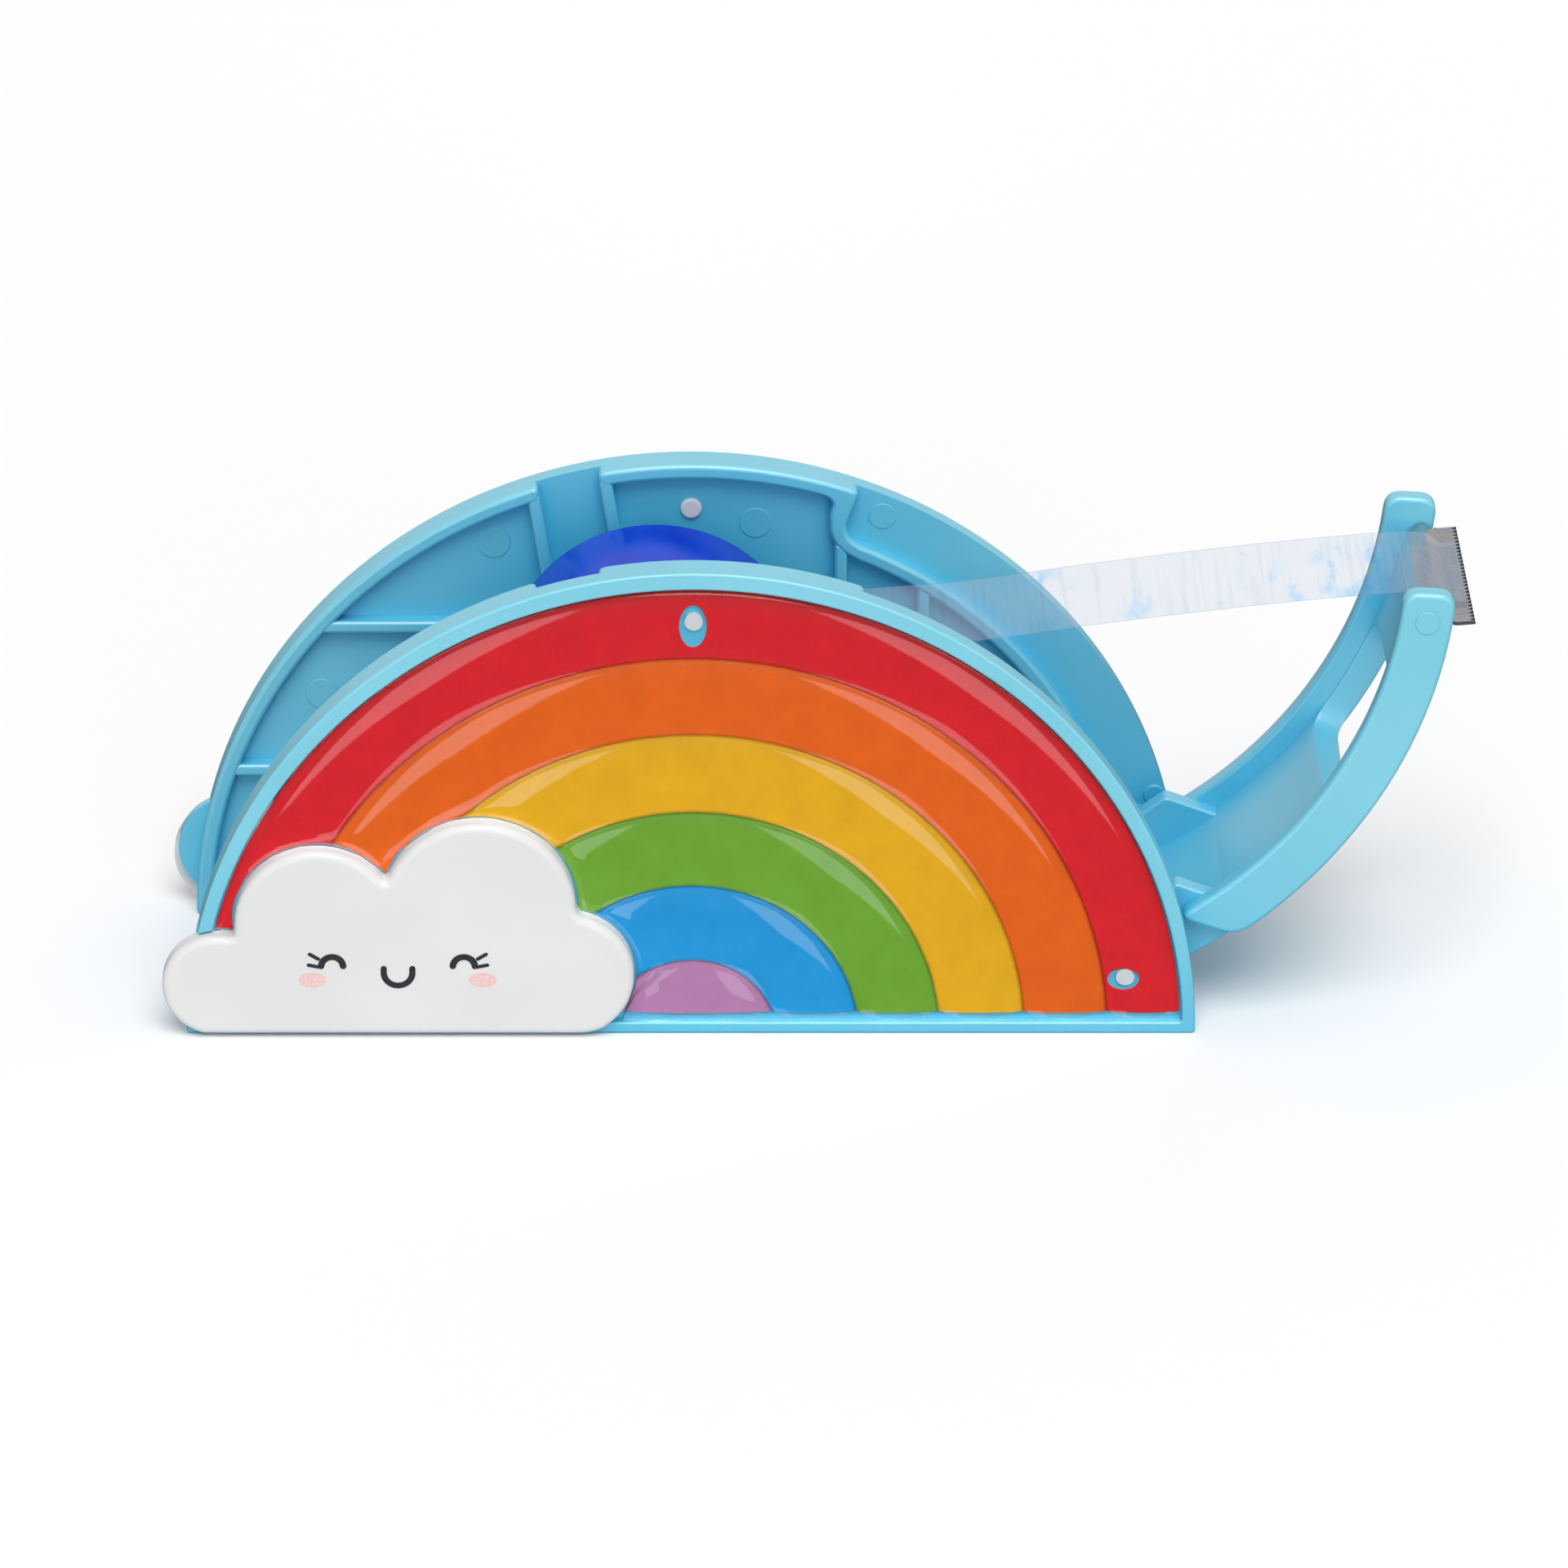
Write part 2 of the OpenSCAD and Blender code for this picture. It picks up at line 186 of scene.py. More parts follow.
def soften(loop, reach, turn=24, steps=5):
    """Rounds every corner of a closed outline, using up to reach of the line on each side."""
    points = [Vector(p) for p in loop]
    points = [p for i, p in enumerate(points) if (p - points[i - 1]).length > 1e-4]
    n = len(points)
    ahead = [points[(i + 1) % n] - points[i] for i in range(n)]
    corners = [i for i in range(n) if math.degrees(ahead[i - 1].angle(ahead[i])) > turn]
    if not corners:
        return [tuple(p) for p in points]
    at = [0.0]
    for d in ahead:
        at.append(at[-1] + d.length)
    total = at[-1]

    def walk(s):
        s %= total
        i = max(k for k in range(n) if at[k] <= s)
        return points[i] + ahead[i] * ((s - at[i]) / ahead[i].length)

    cuts = []
    for k, c in enumerate(corners):
        before = (at[c] - at[corners[k - 1]]) % total or total
        after = (at[corners[(k + 1) % len(corners)]] - at[c]) % total or total
        cuts.append(min(reach, 0.46 * before, 0.46 * after))
    out = []
    for k, c in enumerate(corners):
        a, b = walk(at[c] - cuts[k]), walk(at[c] + cuts[k])
        for j in range(steps + 1):
            t = j / steps
            out.append(a * (1 - t) ** 2 + points[c] * 2 * t * (1 - t) + b * t * t)
        following = corners[(k + 1) % len(corners)]
        stop = at[following] - cuts[(k + 1) % len(corners)]
        stop += total if following <= c else 0
        i = c + 1
        while at[i % n] + total * (i // n) < stop - 0.02:
            if at[i % n] + total * (i // n) > at[c] + cuts[k] + 0.02:
                out.append(points[i % n])
            i += 1
    return [tuple(p) for p in out]


def outward(points):
    """Normals of the edges of an anticlockwise outline."""
    sides = []
    for p, q in zip(points, points[1:] + points[:1]):
        d = q - p
        sides.append(Vector((d.y, -d.x)).normalized())
    return sides


def corner_shift(before, after):
    """Where a corner goes when both of its edges move out by one."""
    both = before + after
    return both * (2 / max(both.length_squared, 0.8))


def corner_normals(before, after):
    """One normal for both sides of a gentle corner, and each side's own at a sharp one."""
    if before.dot(after) > 0.8:
        before = after = (before + after).normalized()
    return before, after


def offset_path(path, d):
    """The line parallel to a bent path, d to its left."""
    points = [Vector(p) for p in path]
    sides = [Vector((-(b - a).y, (b - a).x)).normalized() for a, b in zip(points, points[1:])]
    out = [points[0] + sides[0] * d]
    for i in range(1, len(points) - 1):
        both = sides[i - 1] + sides[i]
        out.append(points[i] + both * (2 * d / both.length_squared))
    return [tuple(p) for p in out + [points[-1] + sides[-1] * d]]


def over_lobes(gap, first, last):
    """Top of the cloud from left to right."""
    out, start = [], first
    for i, (x, z, r) in enumerate(LOBES):
        end = last
        if i + 1 < len(LOBES):
            x2, z2, r2 = LOBES[i + 1]
            end = crossings((x, z, r + gap), (x2, z2, r2 + gap))[0]
        out += arc_between((x, z), r + gap, start, end, -1)
        start = end
    return out


def lobe_side(lobe, gap, z, sign):
    """Right (1) or left (-1) side of a lobe, grown by gap, at height z."""
    half = math.sqrt(max((lobe[2] + gap) ** 2 - (z - lobe[1]) ** 2, 0))
    return (lobe[0] + sign * half, z)


def cloud_loop(gap):
    return over_lobes(gap, lobe_side(LOBES[0], gap, CLOUD_BASE, -1),
                      lobe_side(LOBES[3], gap, CLOUD_BASE, 1))


def start_angle(r, base):
    """Where a circle about the rainbow's centre rises through a base line on the right."""
    return math.degrees(math.asin((base - MIDDLE[1]) / r))


def insert_loop(r, base, gap):
    """Half disc above a base line, less the cloud."""
    left = crossings((*MIDDLE, r), (*LOBES[0][:2], LOBES[0][2] + gap))[0]
    edge = arc(r, start_angle(r, base), angle_of(left, MIDDLE), MIDDLE)
    return edge + over_lobes(gap, left, lobe_side(LOBES[3], gap, base, 1))


# ---- solids from outlines ----

def straight(p):
    return p


def rear(p):
    return Vector((p.x, -p.y, p.z))


def opened(p):
    """From the arm's closed place, where it is drawn, to the open one that it rests in."""
    a = math.radians(SWING)
    x, z = p.x - PIVOT[0], p.z - PIVOT[1]
    return Vector((PIVOT[0] + x * math.cos(a) + z * math.sin(a), p.y,
                   PIVOT[1] - x * math.sin(a) + z * math.cos(a)))


def mesh_object(name, points, faces, material):
    mesh = bpy.data.meshes.new(name)
    mesh.from_pydata([Vector(p) * MM for p in points], [], faces)
    mesh.polygons.foreach_set("use_smooth", [True] * len(mesh.polygons))
    mesh.materials.append(material)
    made = bpy.data.objects.new(name, mesh)
    bpy.context.scene.collection.objects.link(made)
    return made


class Build:
    """Collects closed solids, with the true normal of each face corner, into one mesh."""

    def __init__(self, place=straight):
        self.place, self.points, self.faces, self.normals = place, [], [], []

    def aim(self, p, n):
        """The normal n at p, once the solid is in its place."""
        return (self.place(p + n * 0.01) - self.place(p)).normalized()

    def add(self, p, before, after):
        """Adds a point, and returns its index with the normals of the sides before and after."""
        self.points.append(self.place(p))
        return (len(self.points) - 1, self.aim(p, Vector(before).normalized()),
                self.aim(p, Vector(after)))

    def face(self, corners):
        """corners are (index, normal) pairs in either order round the face."""
        a, b, c = (self.points[corners[k][0]] for k in (0, 1, 2))
        if len(corners) == 4:
            flat = (c - a).cross(self.points[corners[3][0]] - b)
        else:
            flat = (b - a).cross(c - a)
        if flat.dot(sum((n for _, n in corners), Vector())) < 0:
            corners = corners[::-1]
        self.faces.append([i for i, _ in corners])
        self.normals += [n for _, n in corners]

    def join(self, low, high):
        """Faces between two rings, whose items start (index, normal before, normal after)."""
        for a, b, c, d in zip(low, low[1:] + low[:1], high[1:] + high[:1], high):
            self.face([(a[0], a[2]), (b[0], b[1]), (c[0], c[1]), (d[0], d[2])])

    def plate(self, loops, y0, y1, e0=0.0, e1=0.0, steps=3):
        """Outline with holes between two depths, with its edges rounded by e0 and e1."""
        # each row is how far in it lies, its depth, and the normal's share in the plane and along Y
        rows = []
        for y, e, s in ((y0, e0, -1), (y1, e1, 1)):
            count = steps if e else 0
            part = []
            for j in range(count + 1):
                t = math.pi / 2 * (j / count if e else 1)
                part.append((e * (1 - math.sin(t)), y - s * e * (1 - math.cos(t)),
                             math.sin(t), s * math.cos(t)))
            rows += part if s < 0 else part[::-1]
        caps = ([], [])
        for k, loop in enumerate(loops):
            if (area(loop) > 0) != (k == 0):
                loop = loop[::-1]
            points = [Vector(p) for p in loop]
            edge = outward(points)
            rings = []
            for inset, y, flat, deep in rows:
                rings.append([])
                for i, p in enumerate(points):
                    p = p - corner_shift(edge[i - 1], edge[i]) * inset
                    pair = [(n.x * flat, deep, n.y * flat)
                            for n in corner_normals(edge[i - 1], edge[i])]
                    rings[-1].append((*self.add(Vector((p.x, y, p.y)), *pair), p))
            for low, high in zip(rings, rings[1:]):
                self.join(low, high)
            caps[0].append(rings[0])
            caps[1].append(rings[-1])
        for cap, s, y in ((caps[0], -1, y0), (caps[1], 1, y1)):
            members = [m for line in cap for m in line]
            first = members[0][3]
            normal = self.aim(Vector((first.x, y, first.y)), Vector((0, s, 0)))
            for tri in tessellate_polygon([[m[3].to_3d() for m in line] for line in cap]):
                self.face([(members[i][0], normal) for i in tri])

    def lathe(self, profile, c, count):
        """Closed (radius, depth) profile turned about an axis along Y through c."""
        if area(profile) < 0:
            profile = profile[::-1]
        points = [Vector(p) for p in profile]
        edge = outward(points)
        rings = []
        for k in range(count):
            cos, sin = math.cos(2 * math.pi * k / count), math.sin(2 * math.pi * k / count)
            rings.append([])
            for i, p in enumerate(points):
                at = Vector((c[0] + p.x * cos, p.y, c[1] + p.x * sin))
                pair = [(n.x * cos, n.y, n.x * sin)
                        for n in corner_normals(edge[i - 1], edge[i])]
                rings[-1].append(self.add(at, *pair))
        for here, there in zip(rings, rings[1:] + rings[:1]):
            self.join(here, there)

    def object(self, name, material):
        made = mesh_object(name, self.points, self.faces, material)
        made.data.normals_split_custom_set([tuple(n) for n in self.normals])
        return made


def sheet_solid(name, top, bottom, material, sharp):
    """Closed skin between two grids of points, with edges beyond sharp degrees left hard."""
    rows, cols = len(top), len(top[0])
    points = [p for line in top for p in line] + [p for line in bottom for p in line]
    under = rows * cols
    faces = []
    for i in range(rows - 1):
        for j in range(cols - 1):
            a = i * cols + j
            quad = (a, a + 1, a + cols + 1, a + cols)
            faces.append(quad)
            faces.append(tuple(under + q for q in quad[::-1]))
    rim = [*range(cols)] + [i * cols + cols - 1 for i in range(1, rows)]
    rim += [(rows - 1) * cols + j for j in range(cols - 2, -1, -1)]
    rim += [i * cols for i in range(rows - 2, 0, -1)]
    for a, b in zip(rim, rim[1:] + rim[:1]):
        faces.append((b, a, under + a, under + b))
    made = mesh_object(name, points, faces, material)
    made.data.set_sharp_from_angle(angle=math.radians(sharp))
    return made


def smooth_path(path, count):
    """Points evenly spaced along a smooth curve through the given ones."""
    p = [Vector(q) for q in path]
    p = [p[0] * 2 - p[1]] + p + [p[-1] * 2 - p[-2]]
    fine = []
    for i in range(1, len(p) - 2):
        for k in range(24):
            t = k / 24
            a, b, c, d = p[i - 1:i + 3]
            fine.append(0.5 * (2 * b + (c - a) * t + (2 * a - 5 * b + 4 * c - d) * t * t
                               + (3 * b - a - 3 * c + d) * t ** 3))
    fine.append(p[-2])
    at = [0.0]
    for a, b in zip(fine, fine[1:]):
        at.append(at[-1] + (b - a).length)
    out, k = [], 0
    for i in range(count + 1):
        s = at[-1] * i / count
        while k < len(fine) - 2 and at[k + 1] < s:
            k += 1
        out.append(fine[k].lerp(fine[k + 1], (s - at[k]) / max(at[k + 1] - at[k], 1e-9)))
    return out


# ---- materials ----

def grey(level):
    return level, level, level, 1


def srgb(r, g, b):
    return tuple((c / 255 / 12.92 if c <= 10 else ((c / 255 + 0.055) / 1.055) ** 2.4)
                 for c in (r, g, b)) + (1,)


class Paint:
    """A material's node tree, with short calls for the nodes that these materials use."""

    def __init__(self, name, **sockets):
        self.material = bpy.data.materials.new(name)
        self.material.use_nodes = True
        self.tree = self.material.node_tree
        self.tree.nodes.clear()
        self.out = self.node("OutputMaterial")
        self.shader = self.node("BsdfPrincipled")
        self.put(self.shader.outputs[0], self.out.inputs["Surface"])
        self.set(**sockets)
        self.where = self.node("TexCoord").outputs["Object"]

    def put(self, value, socket):
        if isinstance(value, bpy.types.NodeSocket):
            self.tree.links.new(value, socket)
        else:
            socket.default_value = value

    def node(self, kind, **sockets):
        made = self.tree.nodes.new("ShaderNode" + kind)
        for key, value in sockets.items():
            self.put(value, made.inputs[key])
        return made

    def noise(self, scale, detail=2.0, rough=0.5, stretch=None):
        where = self.where
        if stretch:
            where = self.node("Mapping", Vector=where, Scale=stretch).outputs[0]
        return self.node("TexNoise", Vector=where, Scale=scale, Detail=detail,
                         Roughness=rough).outputs["Fac"]

    def math(self, op, a, b=0.0):
        node = self.node("Math")
        node.operation = op
        self.put(a, node.inputs[0])
        self.put(b, node.inputs[1])
        return node.outputs[0]

    def ramp(self, fac, stops, kind="LINEAR"):
        node = self.node("ValToRGB")
        node.color_ramp.interpolation = kind
        self.put(fac, node.inputs[0])
        while len(node.color_ramp.elements) < len(stops):
            node.color_ramp.elements.new(0.5)
        for element, (at, colour) in zip(node.color_ramp.elements, stops):
            element.position = at
            element.color = colour
        return node.outputs[0]

    def span(self, fac, low, high, new_low=0.0, new_high=1.0):
        """Maps one range of a value to another."""
        node = self.node("MapRange")
        for value, socket in zip((fac, low, high, new_low, new_high), node.inputs):
            self.put(value, socket)
        return node.outputs[0]

    def mix(self, fac, a, b, how="MIX"):
        node = self.node("Mix")
        node.data_type = "RGBA"
        node.blend_type = how
        self.put(fac, node.inputs["Factor"])
        colours = [socket for socket in node.inputs if socket.type == "RGBA"]
        self.put(a, colours[0])
        self.put(b, colours[1])
        return [socket for socket in node.outputs if socket.type == "RGBA"][0]

    def split(self):
        return self.node("SeparateXYZ", Vector=self.where).outputs

    def openness(self, reach):
        """How much of the surroundings a point sees within a reach in metres, from 0 to 1."""
        node = self.node("AmbientOcclusion", Distance=reach)
        node.samples = 8
        return node.outputs["AO"]

    def radius(self, c):
        """Distance from an axis along Y, in millimetres."""
        x, _, z = self.split()
        x = self.math("SUBTRACT", self.math("MULTIPLY", x, 1000), c[0])
        z = self.math("SUBTRACT", self.math("MULTIPLY", z, 1000), c[1])
        return self.math("SQRT", self.math("ADD", self.math("MULTIPLY", x, x),
                                           self.math("MULTIPLY", z, z)))

    def bump(self, height, distance, strength):
        node = self.node("Bump", Strength=strength, Distance=distance, Height=height)
        self.set(Normal=node.outputs[0])

    def set(self, **sockets):
        for key, value in sockets.items():
            self.put(value, self.shader.inputs[key.replace("_", " ")])

    def clear(self, tint):
        return self.node("BsdfTransparent", Color=tint)

    def show(self, share, first, second):
        """Mixes two shaders on the surface, share being the second one's."""
        mixer = self.node("MixShader", Fac=share)
        self.put(first.outputs[0], mixer.inputs[1])
        self.put(second.outputs[0], mixer.inputs[2])
        self.put(mixer.outputs[0], self.out.inputs["Surface"])

    def see_through(self, tint, solid):
        """Shows what is behind, except for the share given by solid."""
        self.show(solid, self.clear(tint), self.shader)

    def lamps_through(self, tint):
        """Straight shadows through glass."""
        shadow = self.node("LightPath").outputs["Is Shadow Ray"]
        self.show(shadow, self.shader, self.clear(tint))

    def gloss_share(self, ior):
        """How much a front face mirrors, and nothing on the faces behind it."""
        fresnel = self.node("Fresnel", IOR=ior).outputs[0]
        back = self.node("NewGeometry").outputs["Backfacing"]
        return self.math("MULTIPLY", fresnel, self.math("SUBTRACT", 1.0, back))


def moulded(name, low, high, rough=(0.22, 0.34), grain=0.00001, deep=None, **sockets):
    """Injection-moulded plastic: faint colour drift, fine satin grain, slight flow marks.

    In its hollows, which see little of their surroundings, deep is multiplied into the colour: painted
    shade that stands in for light that has been through or off the plastic before.
    """
    p = Paint(name, **sockets)
    drift = p.noise(55, 3, 0.5)
    flow = p.noise(140, 2, 0.4, (1, 0.35, 1))
    colour = p.mix(p.math("MULTIPLY", flow, 0.35), p.ramp(drift, [(0.3, low), (0.7, high)]), high)
    if deep:
        # painted shade: the colour is multiplied by deep where a point sees little of its surroundings
        painted_hollow_shade = p.span(p.openness(0.03), 0.35, 0.95, 1.0, 0.0)
        colour = p.mix(painted_hollow_shade, colour, deep, "MULTIPLY")
    p.set(Base_Color=colour)
    fine = p.noise(2600, 2, 0.6)
    p.set(Roughness=p.span(p.math("ADD", p.math("MULTIPLY", fine, 0.5),
                                  p.math("MULTIPLY", drift, 0.5)), 0.3, 0.7, *rough))
    p.bump(p.math("ADD", fine, p.math("MULTIPLY", flow, 2.0)), grain, 0.5)
    return p.material


def clear_plastic():
    """Polished clear styrene: refracts what is behind it and lets lamps through."""
    p = Paint("clear_plastic", IOR=1.43, Transmission_Weight=1.0)
    haze = p.noise(500, 2, 0.5)
    p.set(Base_Color=p.ramp(haze, [(0.3, (0.96, 0.975, 0.98, 1)), (0.7, (0.985, 0.99, 1, 1))]))
    p.set(Roughness=p.span(p.noise(900, 2), 0.3, 0.7, 0.01, 0.05))
    p.bump(p.noise(70, 2, 0.5), 0.0002, 0.12)
    p.lamps_through((0.93, 0.94, 0.95, 1))
    return p.material


BAND_COLOURS = [(189, 131, 177), (37, 155, 218), (114, 169, 53), (231, 175, 30),
                (231, 101, 26), (218, 36, 44)]


def rainbow_print():
    """Printed card: six bands by distance from their middle, with dot grain and scuffs."""
    p = Paint("rainbow_print", Specular_IOR_Level=0.05)
    r = p.radius(MIDDLE)
    soft = p.math("ADD", r, p.math("MULTIPLY", p.math("SUBTRACT", p.noise(1500, 2), 0.5), 0.25))
    stops = [(edge / BODY_R, srgb(*colour)) for edge, colour in zip([0] + BAND_R, BAND_COLOURS)]
    colour = p.ramp(p.math("DIVIDE", soft, BODY_R), stops, "CONSTANT")
    grain = p.noise(3800, 2, 0.7)
    cloudy = p.noise(220, 3, 0.6)
    colour = p.mix(p.span(grain, 0.4, 0.75, 0.0, 0.008), colour, (1, 1, 1, 1), "SCREEN")
    colour = p.mix(p.span(cloudy, 0.3, 0.7, 0.0, 0.14), colour, (0.35, 0.3, 0.3, 1), "MULTIPLY")
    # painted shade: a darker hairline where one colour meets the next, standing in for the dark lines
    # that the cover's grooves show there
    line = 1.0
    for edge in BAND_R[:-1]:
        away = p.math("ABSOLUTE", p.math("SUBTRACT", soft, edge))
        line = p.math("MINIMUM", line, p.math("MULTIPLY", away, 2.0))
    colour = p.mix(p.span(line, 0.0, 1.0, 0.62, 0.0), colour, (0.25, 0.2, 0.18, 1), "MULTIPLY")
    p.set(Base_Color=colour, Roughness=p.span(grain, 0.3, 0.7, 0.42, 0.6))
    p.bump(grain, 0.00001, 0.3)
    return p.material


def steel(name, base, streak=(1, 0.04, 1), rough=(0.24, 0.42), tint=None):
    """Drawn or rolled steel with fine streaks, and blotches of tint where it has been hot."""
    p = Paint(name, Metallic=1.0)
    lines = p.noise(1800, 4, 0.6, streak)
    blotch = p.noise(160, 3, 0.5)
    dark = tuple(c * 0.72 for c in base[:3]) + (1,)
    colour = p.ramp(lines, [(0.3, dark), (0.7, base)])
    if tint:
        colour = p.mix(p.span(blotch, 0.42, 0.62, 0.0, 0.55), colour, tint)
    p.set(Base_Color=colour, Roughness=p.span(lines, 0.3, 0.7, *rough))
    p.bump(lines, 0.00001, 0.4)
    return p.material


def rubber():
    """Foot pads: matt and porous."""
    p = Paint("grey_rubber", Specular_IOR_Level=0.3)
    pores = p.noise(1500, 4, 0.7)
    stops = [(0.3, (0.035, 0.036, 0.04, 1)), (0.7, (0.075, 0.075, 0.08, 1))]
    p.set(Base_Color=p.ramp(pores, stops), Roughness=p.span(pores, 0.3, 0.7, 0.7, 0.92))
    p.bump(pores, 0.00008, 0.6)
    return p.material


def film():
    """Single layer of tape: clear with a grey cast, sparse blue smears and faint creases across."""
    p = Paint("tape_film", IOR=1.45)
    smear = p.noise(170, 5, 0.7, (0.8, 0.3, 0.8))
    creases = p.noise(1500, 2, 0.4, (1, 0.03, 0.2))
    border = p.span(p.math("ABSOLUTE", p.split()[1]), 0.0086, 0.0090, 0.0, 0.6)
    # painted shade: the film's see-through tint is darker along its creases
    crease_shade = p.span(creases, 0.5, 0.72, 0.0, 0.35)
    p.set(Base_Color=p.ramp(smear, [(0.5, (0.80, 0.84, 0.90, 1)), (0.66, (0.45, 0.70, 0.92, 1))]),
          Roughness=p.span(creases, 0.3, 0.7, 0.08, 0.25))
    p.bump(p.math("ADD", creases, smear), 0.0001, 0.25)
    tint = p.ramp(smear, [(0.56, (0.94, 0.95, 0.965, 1)), (0.60, (0.86, 0.93, 0.98, 1)),
                          (0.68, (0.74, 0.88, 0.97, 1))])
    tint = p.mix(p.math("MAXIMUM", border, crease_shade), tint, (0.84, 0.88, 0.93, 1), "MULTIPLY")
    p.see_through(tint, p.math("ADD", 0.05, p.gloss_share(1.45)))
    return p.material


def roll_blue():
    """The wound roll: deep clear blue, with layer lines on its flanks and wrinkles on its face."""
    p = Paint("tape_roll_blue", IOR=1.48, Coat_Weight=0.15, Coat_Roughness=0.08)
    r = p.radius(REEL)
    waves = p.noise(90, 3, 0.55, (1, 0.25, 1))
    layers = p.math("SINE", p.math("MULTIPLY", r, 21.0))
    depth = p.ramp(p.span(r, CORE_R, ROLL_R),
                   [(0.0, srgb(60, 50, 200)), (0.35, srgb(2, 60, 222)), (1.0, srgb(0, 56, 216))])
    colour = p.mix(p.span(waves, 0.4, 0.7, 0.0, 0.4), depth, srgb(0, 84, 238))
    colour = p.mix(p.span(layers, -1.0, 1.0, 0.0, 0.2), colour, srgb(2, 30, 120))
    p.set(Base_Color=colour, Roughness=p.span(waves, 0.3, 0.7, 0.14, 0.28))
    p.bump(p.math("ADD", p.math("MULTIPLY", layers, 0.3), waves), 0.00008, 0.4)
    p.see_through(srgb(50, 110, 240), p.span(waves, 0.3, 0.7, 0.7, 0.86))
    return p.material


def ink(name, colour):
    """Pad-printed ink, slightly uneven."""
    p = Paint(name, Specular_IOR_Level=0.4)
    grain = p.noise(3000, 2, 0.6)
    pale = tuple(min(1, c * 1.25 + 0.01) for c in colour[:3]) + (1,)
    p.set(Base_Color=p.ramp(grain, [(0.35, colour), (0.7, pale)]),
          Roughness=p.span(grain, 0.3, 0.7, 0.35, 0.5))
    p.bump(grain, 0.00001, 0.3)
    return p.material


def floor_paint():
    p = Paint("studio_floor", Roughness=0.75, Specular_IOR_Level=0.2)
    p.set(Base_Color=p.ramp(p.noise(3, 2), [(0.3, grey(0.905)), (0.7, grey(0.915))]))
    return p.material


# deep is the painted shade that the blue plastic takes in its hollows
SKY = moulded("sky_plastic", srgb(106, 196, 217), srgb(118, 202, 223), (0.32, 0.44),
              deep=(0.3, 0.85, 1, 1), Specular_IOR_Level=1.0, Coat_Weight=1.0,
              Coat_Roughness=0.45, Subsurface_Weight=0.06,
              Subsurface_Radius=(0.15, 0.8, 1.0), Subsurface_Scale=0.001)
WHITE = moulded("white_plastic", srgb(210, 211, 211), srgb(217, 218, 218), (0.3, 0.4),
                Subsurface_Weight=0.1, Subsurface_Scale=0.001)
HUB = moulded("hub_plastic", srgb(196, 206, 214), srgb(214, 222, 228), (0.3, 0.42))
VIOLET = moulded("core_violet", srgb(126, 92, 190), srgb(150, 112, 208), (0.35, 0.5), grain=0.00002)
CLEAR = clear_plastic()
PIN = moulded("pin_plastic", srgb(226, 232, 238), srgb(238, 243, 248), (0.08, 0.18),
              Transmission_Weight=0.25, IOR=1.49)
PRINT = rainbow_print()
STEEL = steel("steel", (0.62, 0.62, 0.63, 1))
BLADE_STEEL = steel("blade_steel", (0.62, 0.58, 0.55, 1), streak=(0.05, 1, 1),
                    rough=(0.22, 0.36), tint=(0.3, 0.42, 0.6, 1))
RUBBER = rubber()
FILM = film()
ROLL = roll_blue()
INK = ink("face_ink", (0.018, 0.02, 0.024, 1))
BLUSH = ink("cheek_ink", srgb(214, 180, 176))


def finish_piece(piece, body, slot, *nodes):
    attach(piece, body)
    if nodes:
        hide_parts(*nodes)


# ---- shells ----

def panel_loop(side):
    """Half disc with the small bump that backs the cloud."""
    lobe = SHELL_LOBE[side]
    high, low = crossings((0, 0, BODY_R), lobe)
    edge = arc(BODY_R, 0, angle_of(high))
    return edge + arc_between(lobe[:2], lobe[2], high, low, 1) + arc(BODY_R, angle_of(low), 180)


def border_loop():
    """Raised edge round the recess, open where the cloud overhangs it."""
    grown = (*LOBES[0][:2], LOBES[0][2] + 0.15)
    outer = crossings((0, 0, BODY_R), grown)[0]
    inner = crossings((*MIDDLE, RECESS_R), grown)[0]
    loop = arc(BODY_R, 0, angle_of(outer))
    loop += arc_between(grown[:2], grown[2], outer, inner, -1)[1:]
    loop += arc(RECESS_R, angle_of(inner, MIDDLE), start_angle(RECESS_R, SILL), MIDDLE)[1:]
    loop += [lobe_side(LOBES[3], 0.15, SILL, 1), lobe_side(LOBES[3], 0.15, 0.35, 1)]
    loop += [(-59.9, 0.35), (-61.5, 1.0), (-BODY_R + 0.02, 1.3), (-BODY_R, 0)]
    return soften(loop, 0.5)


def slot_edge(side, r):
    """Where the slot's left (-1) or right (1) side passes a radius."""
    d = Vector(SLOT[1]) - Vector(SLOT[0])
    across = Vector((-d.y, d.x)).normalized() * side * (SLOT_HALF + 0.05)
    return on_circle(Vector(SLOT[0]) + across, d, r)


def rim_loops():
    """The rim left of the slot, the rim right of it with the inner wall, and the low end."""
    left = arc(BODY_R, angle_of(slot_edge(-1, BODY_R)), 180)
    left += arc(RIM_RI, 180, angle_of(slot_edge(-1, RIM_RI)))
    right = arc(BODY_R, angle_of(slot_edge(1, BODY_R)), RIM_END)
    right += [polar(57.2, RIM_END), polar(56.2, 69.9), polar(55.5, 69.0), polar(55.2, 67.6)]
    right += arc(55.2, 66, 14) + arc(53.2, 14, 67)
    right += [(19.3, 49.8), (17.9, 51.1), (17.2, 52.5), (17.1, 55.1), (17.6, 57.0)]
    right += arc(RIM_RI, 74.2, angle_of(slot_edge(1, RIM_RI)))
    low = arc(BODY_R, 0, 9.8) + arc(RIM_RI, 9.8, 0)
    return [soften(loop, 0.9) for loop in (left, right, low)]


